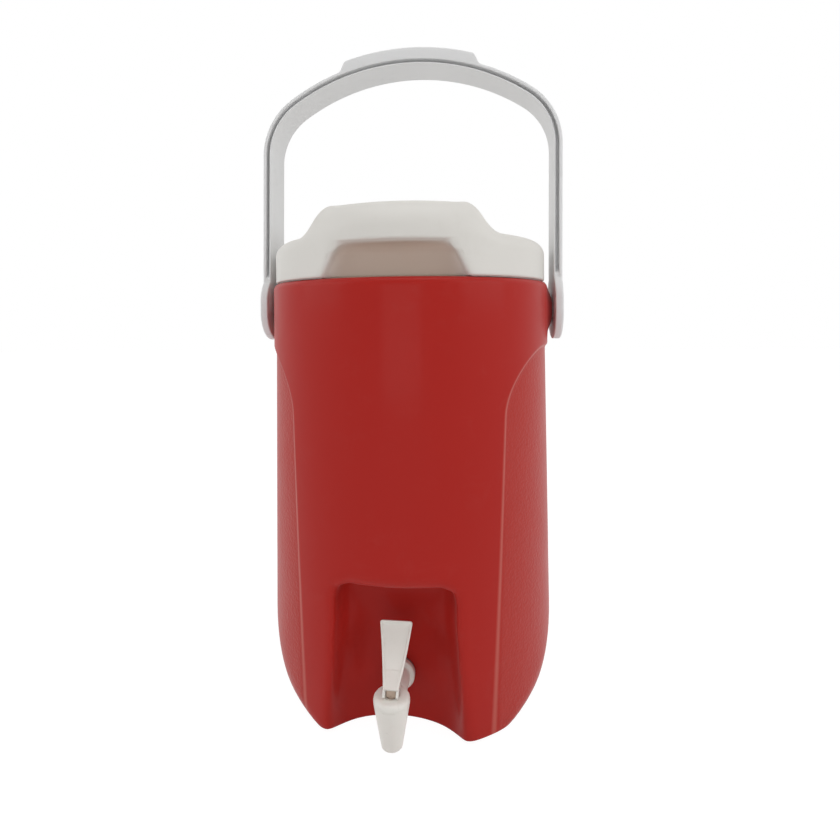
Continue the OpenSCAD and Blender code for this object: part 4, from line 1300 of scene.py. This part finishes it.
def soft_lamp(name, place, target, size, power):
    """A square area lamp that faces a point."""
    deselect_all()
    bpy.ops.object.light_add(type="AREA", location=place)
    lamp = bpy.context.active_object
    lamp.name = name
    lamp.data.size = size
    lamp.data.energy = power
    lamp.rotation_euler = (Vector(target) - Vector(place)).to_track_quat("-Z", "Y").to_euler()


class JUG_OT_stage(Operator):
    """Sets up the floor, the soft light and the camera"""

    bl_idname = "jug.stage"
    bl_label = "Stage"

    def execute(self, context):
        scene = context.scene
        scene.view_settings.view_transform = "Standard"
        deselect_all()
        bpy.ops.mesh.primitive_plane_add(size=8)
        floor = named("floor")
        floor.data.materials.append(floor_finish())
        studio_world()
        middle = (0, 0, 0.2)
        soft_lamp("left_softbox", (-1.5, -0.7, 0.9), middle, 1.2, 6.6)
        soft_lamp("right_softbox", (1.5, -0.7, 0.9), middle, 1.2, 8.3)
        soft_lamp("overhead_softbox", (0.1, -0.4, 1.9), middle, 1.2, 7)
        soft_lamp("low_softbox", (0.0, -1.6, 0.15), middle, 0.8, 3)
        deselect_all()
        bpy.ops.object.camera_add(location=(0.0588, -0.4819, 0.2996))
        camera = bpy.context.active_object
        camera.name = "photo_camera"
        turn = Matrix.Rotation(math.radians(6.96), 3, "Z") @ Matrix.Rotation(math.radians(90), 3, "X")
        camera.rotation_euler = (turn @ Matrix.Rotation(math.radians(-0.54), 3, "Z")).to_euler()
        camera.data.lens = 23.13
        camera.data.sensor_width = 36
        camera.data.shift_x = 0.0113
        camera.data.shift_y = -0.1257
        camera.data.clip_start = 0.01
        scene.camera = camera
        return {"FINISHED"}


class JUG_PT_panel(Panel):
    """Lists the jug's sizes, colours and steps in the sidebar"""

    bl_idname = "JUG_PT_panel"
    bl_label = "Water Cooler Jug"
    bl_space_type = "VIEW_3D"
    bl_region_type = "UI"
    bl_category = "Jug"

    def draw(self, context):
        for group in GROUPS:
            box = self.layout.box()
            settings = getattr(context.scene, group)
            for key in settings.bl_rna.properties.keys():
                if key not in ("rna_type", "name"):
                    box.prop(settings, key)
        for step in STEPS:
            self.layout.operator(step.bl_idname)


GROUPS = {
    "jug_body": JugBodySizes, "jug_lid": JugLidSizes, "jug_bail": JugBailSizes,
    "jug_tap": JugTapSizes, "jug_finishes": JugFinishes,
}
STEPS = (JUG_OT_stage, JUG_OT_body, JUG_OT_lid, JUG_OT_bail, JUG_OT_tap, JUG_OT_lever, JUG_OT_finishes)


def register():
    """Registers the classes and adds the settings to the scene."""
    for group in GROUPS.values():
        bpy.utils.register_class(group)
    for step in STEPS:
        bpy.utils.register_class(step)
    bpy.utils.register_class(JUG_PT_panel)
    for name, group in GROUPS.items():
        setattr(bpy.types.Scene, name, PointerProperty(type=group))


def unregister():
    """Takes away what register added."""
    for name in GROUPS:
        delattr(bpy.types.Scene, name)
    bpy.utils.unregister_class(JUG_PT_panel)
    for step in reversed(STEPS):
        bpy.utils.unregister_class(step)
    for group in reversed(GROUPS.values()):
        bpy.utils.unregister_class(group)


def main():
    """Builds the jug."""
    register()
    bpy.ops.jug.stage()
    bpy.ops.jug.body()
    bpy.ops.jug.lid()
    bpy.ops.jug.bail()
    bpy.ops.jug.tap()
    bpy.ops.jug.lever()
    bpy.ops.jug.finishes()


if __name__ == "__main__":
    main()
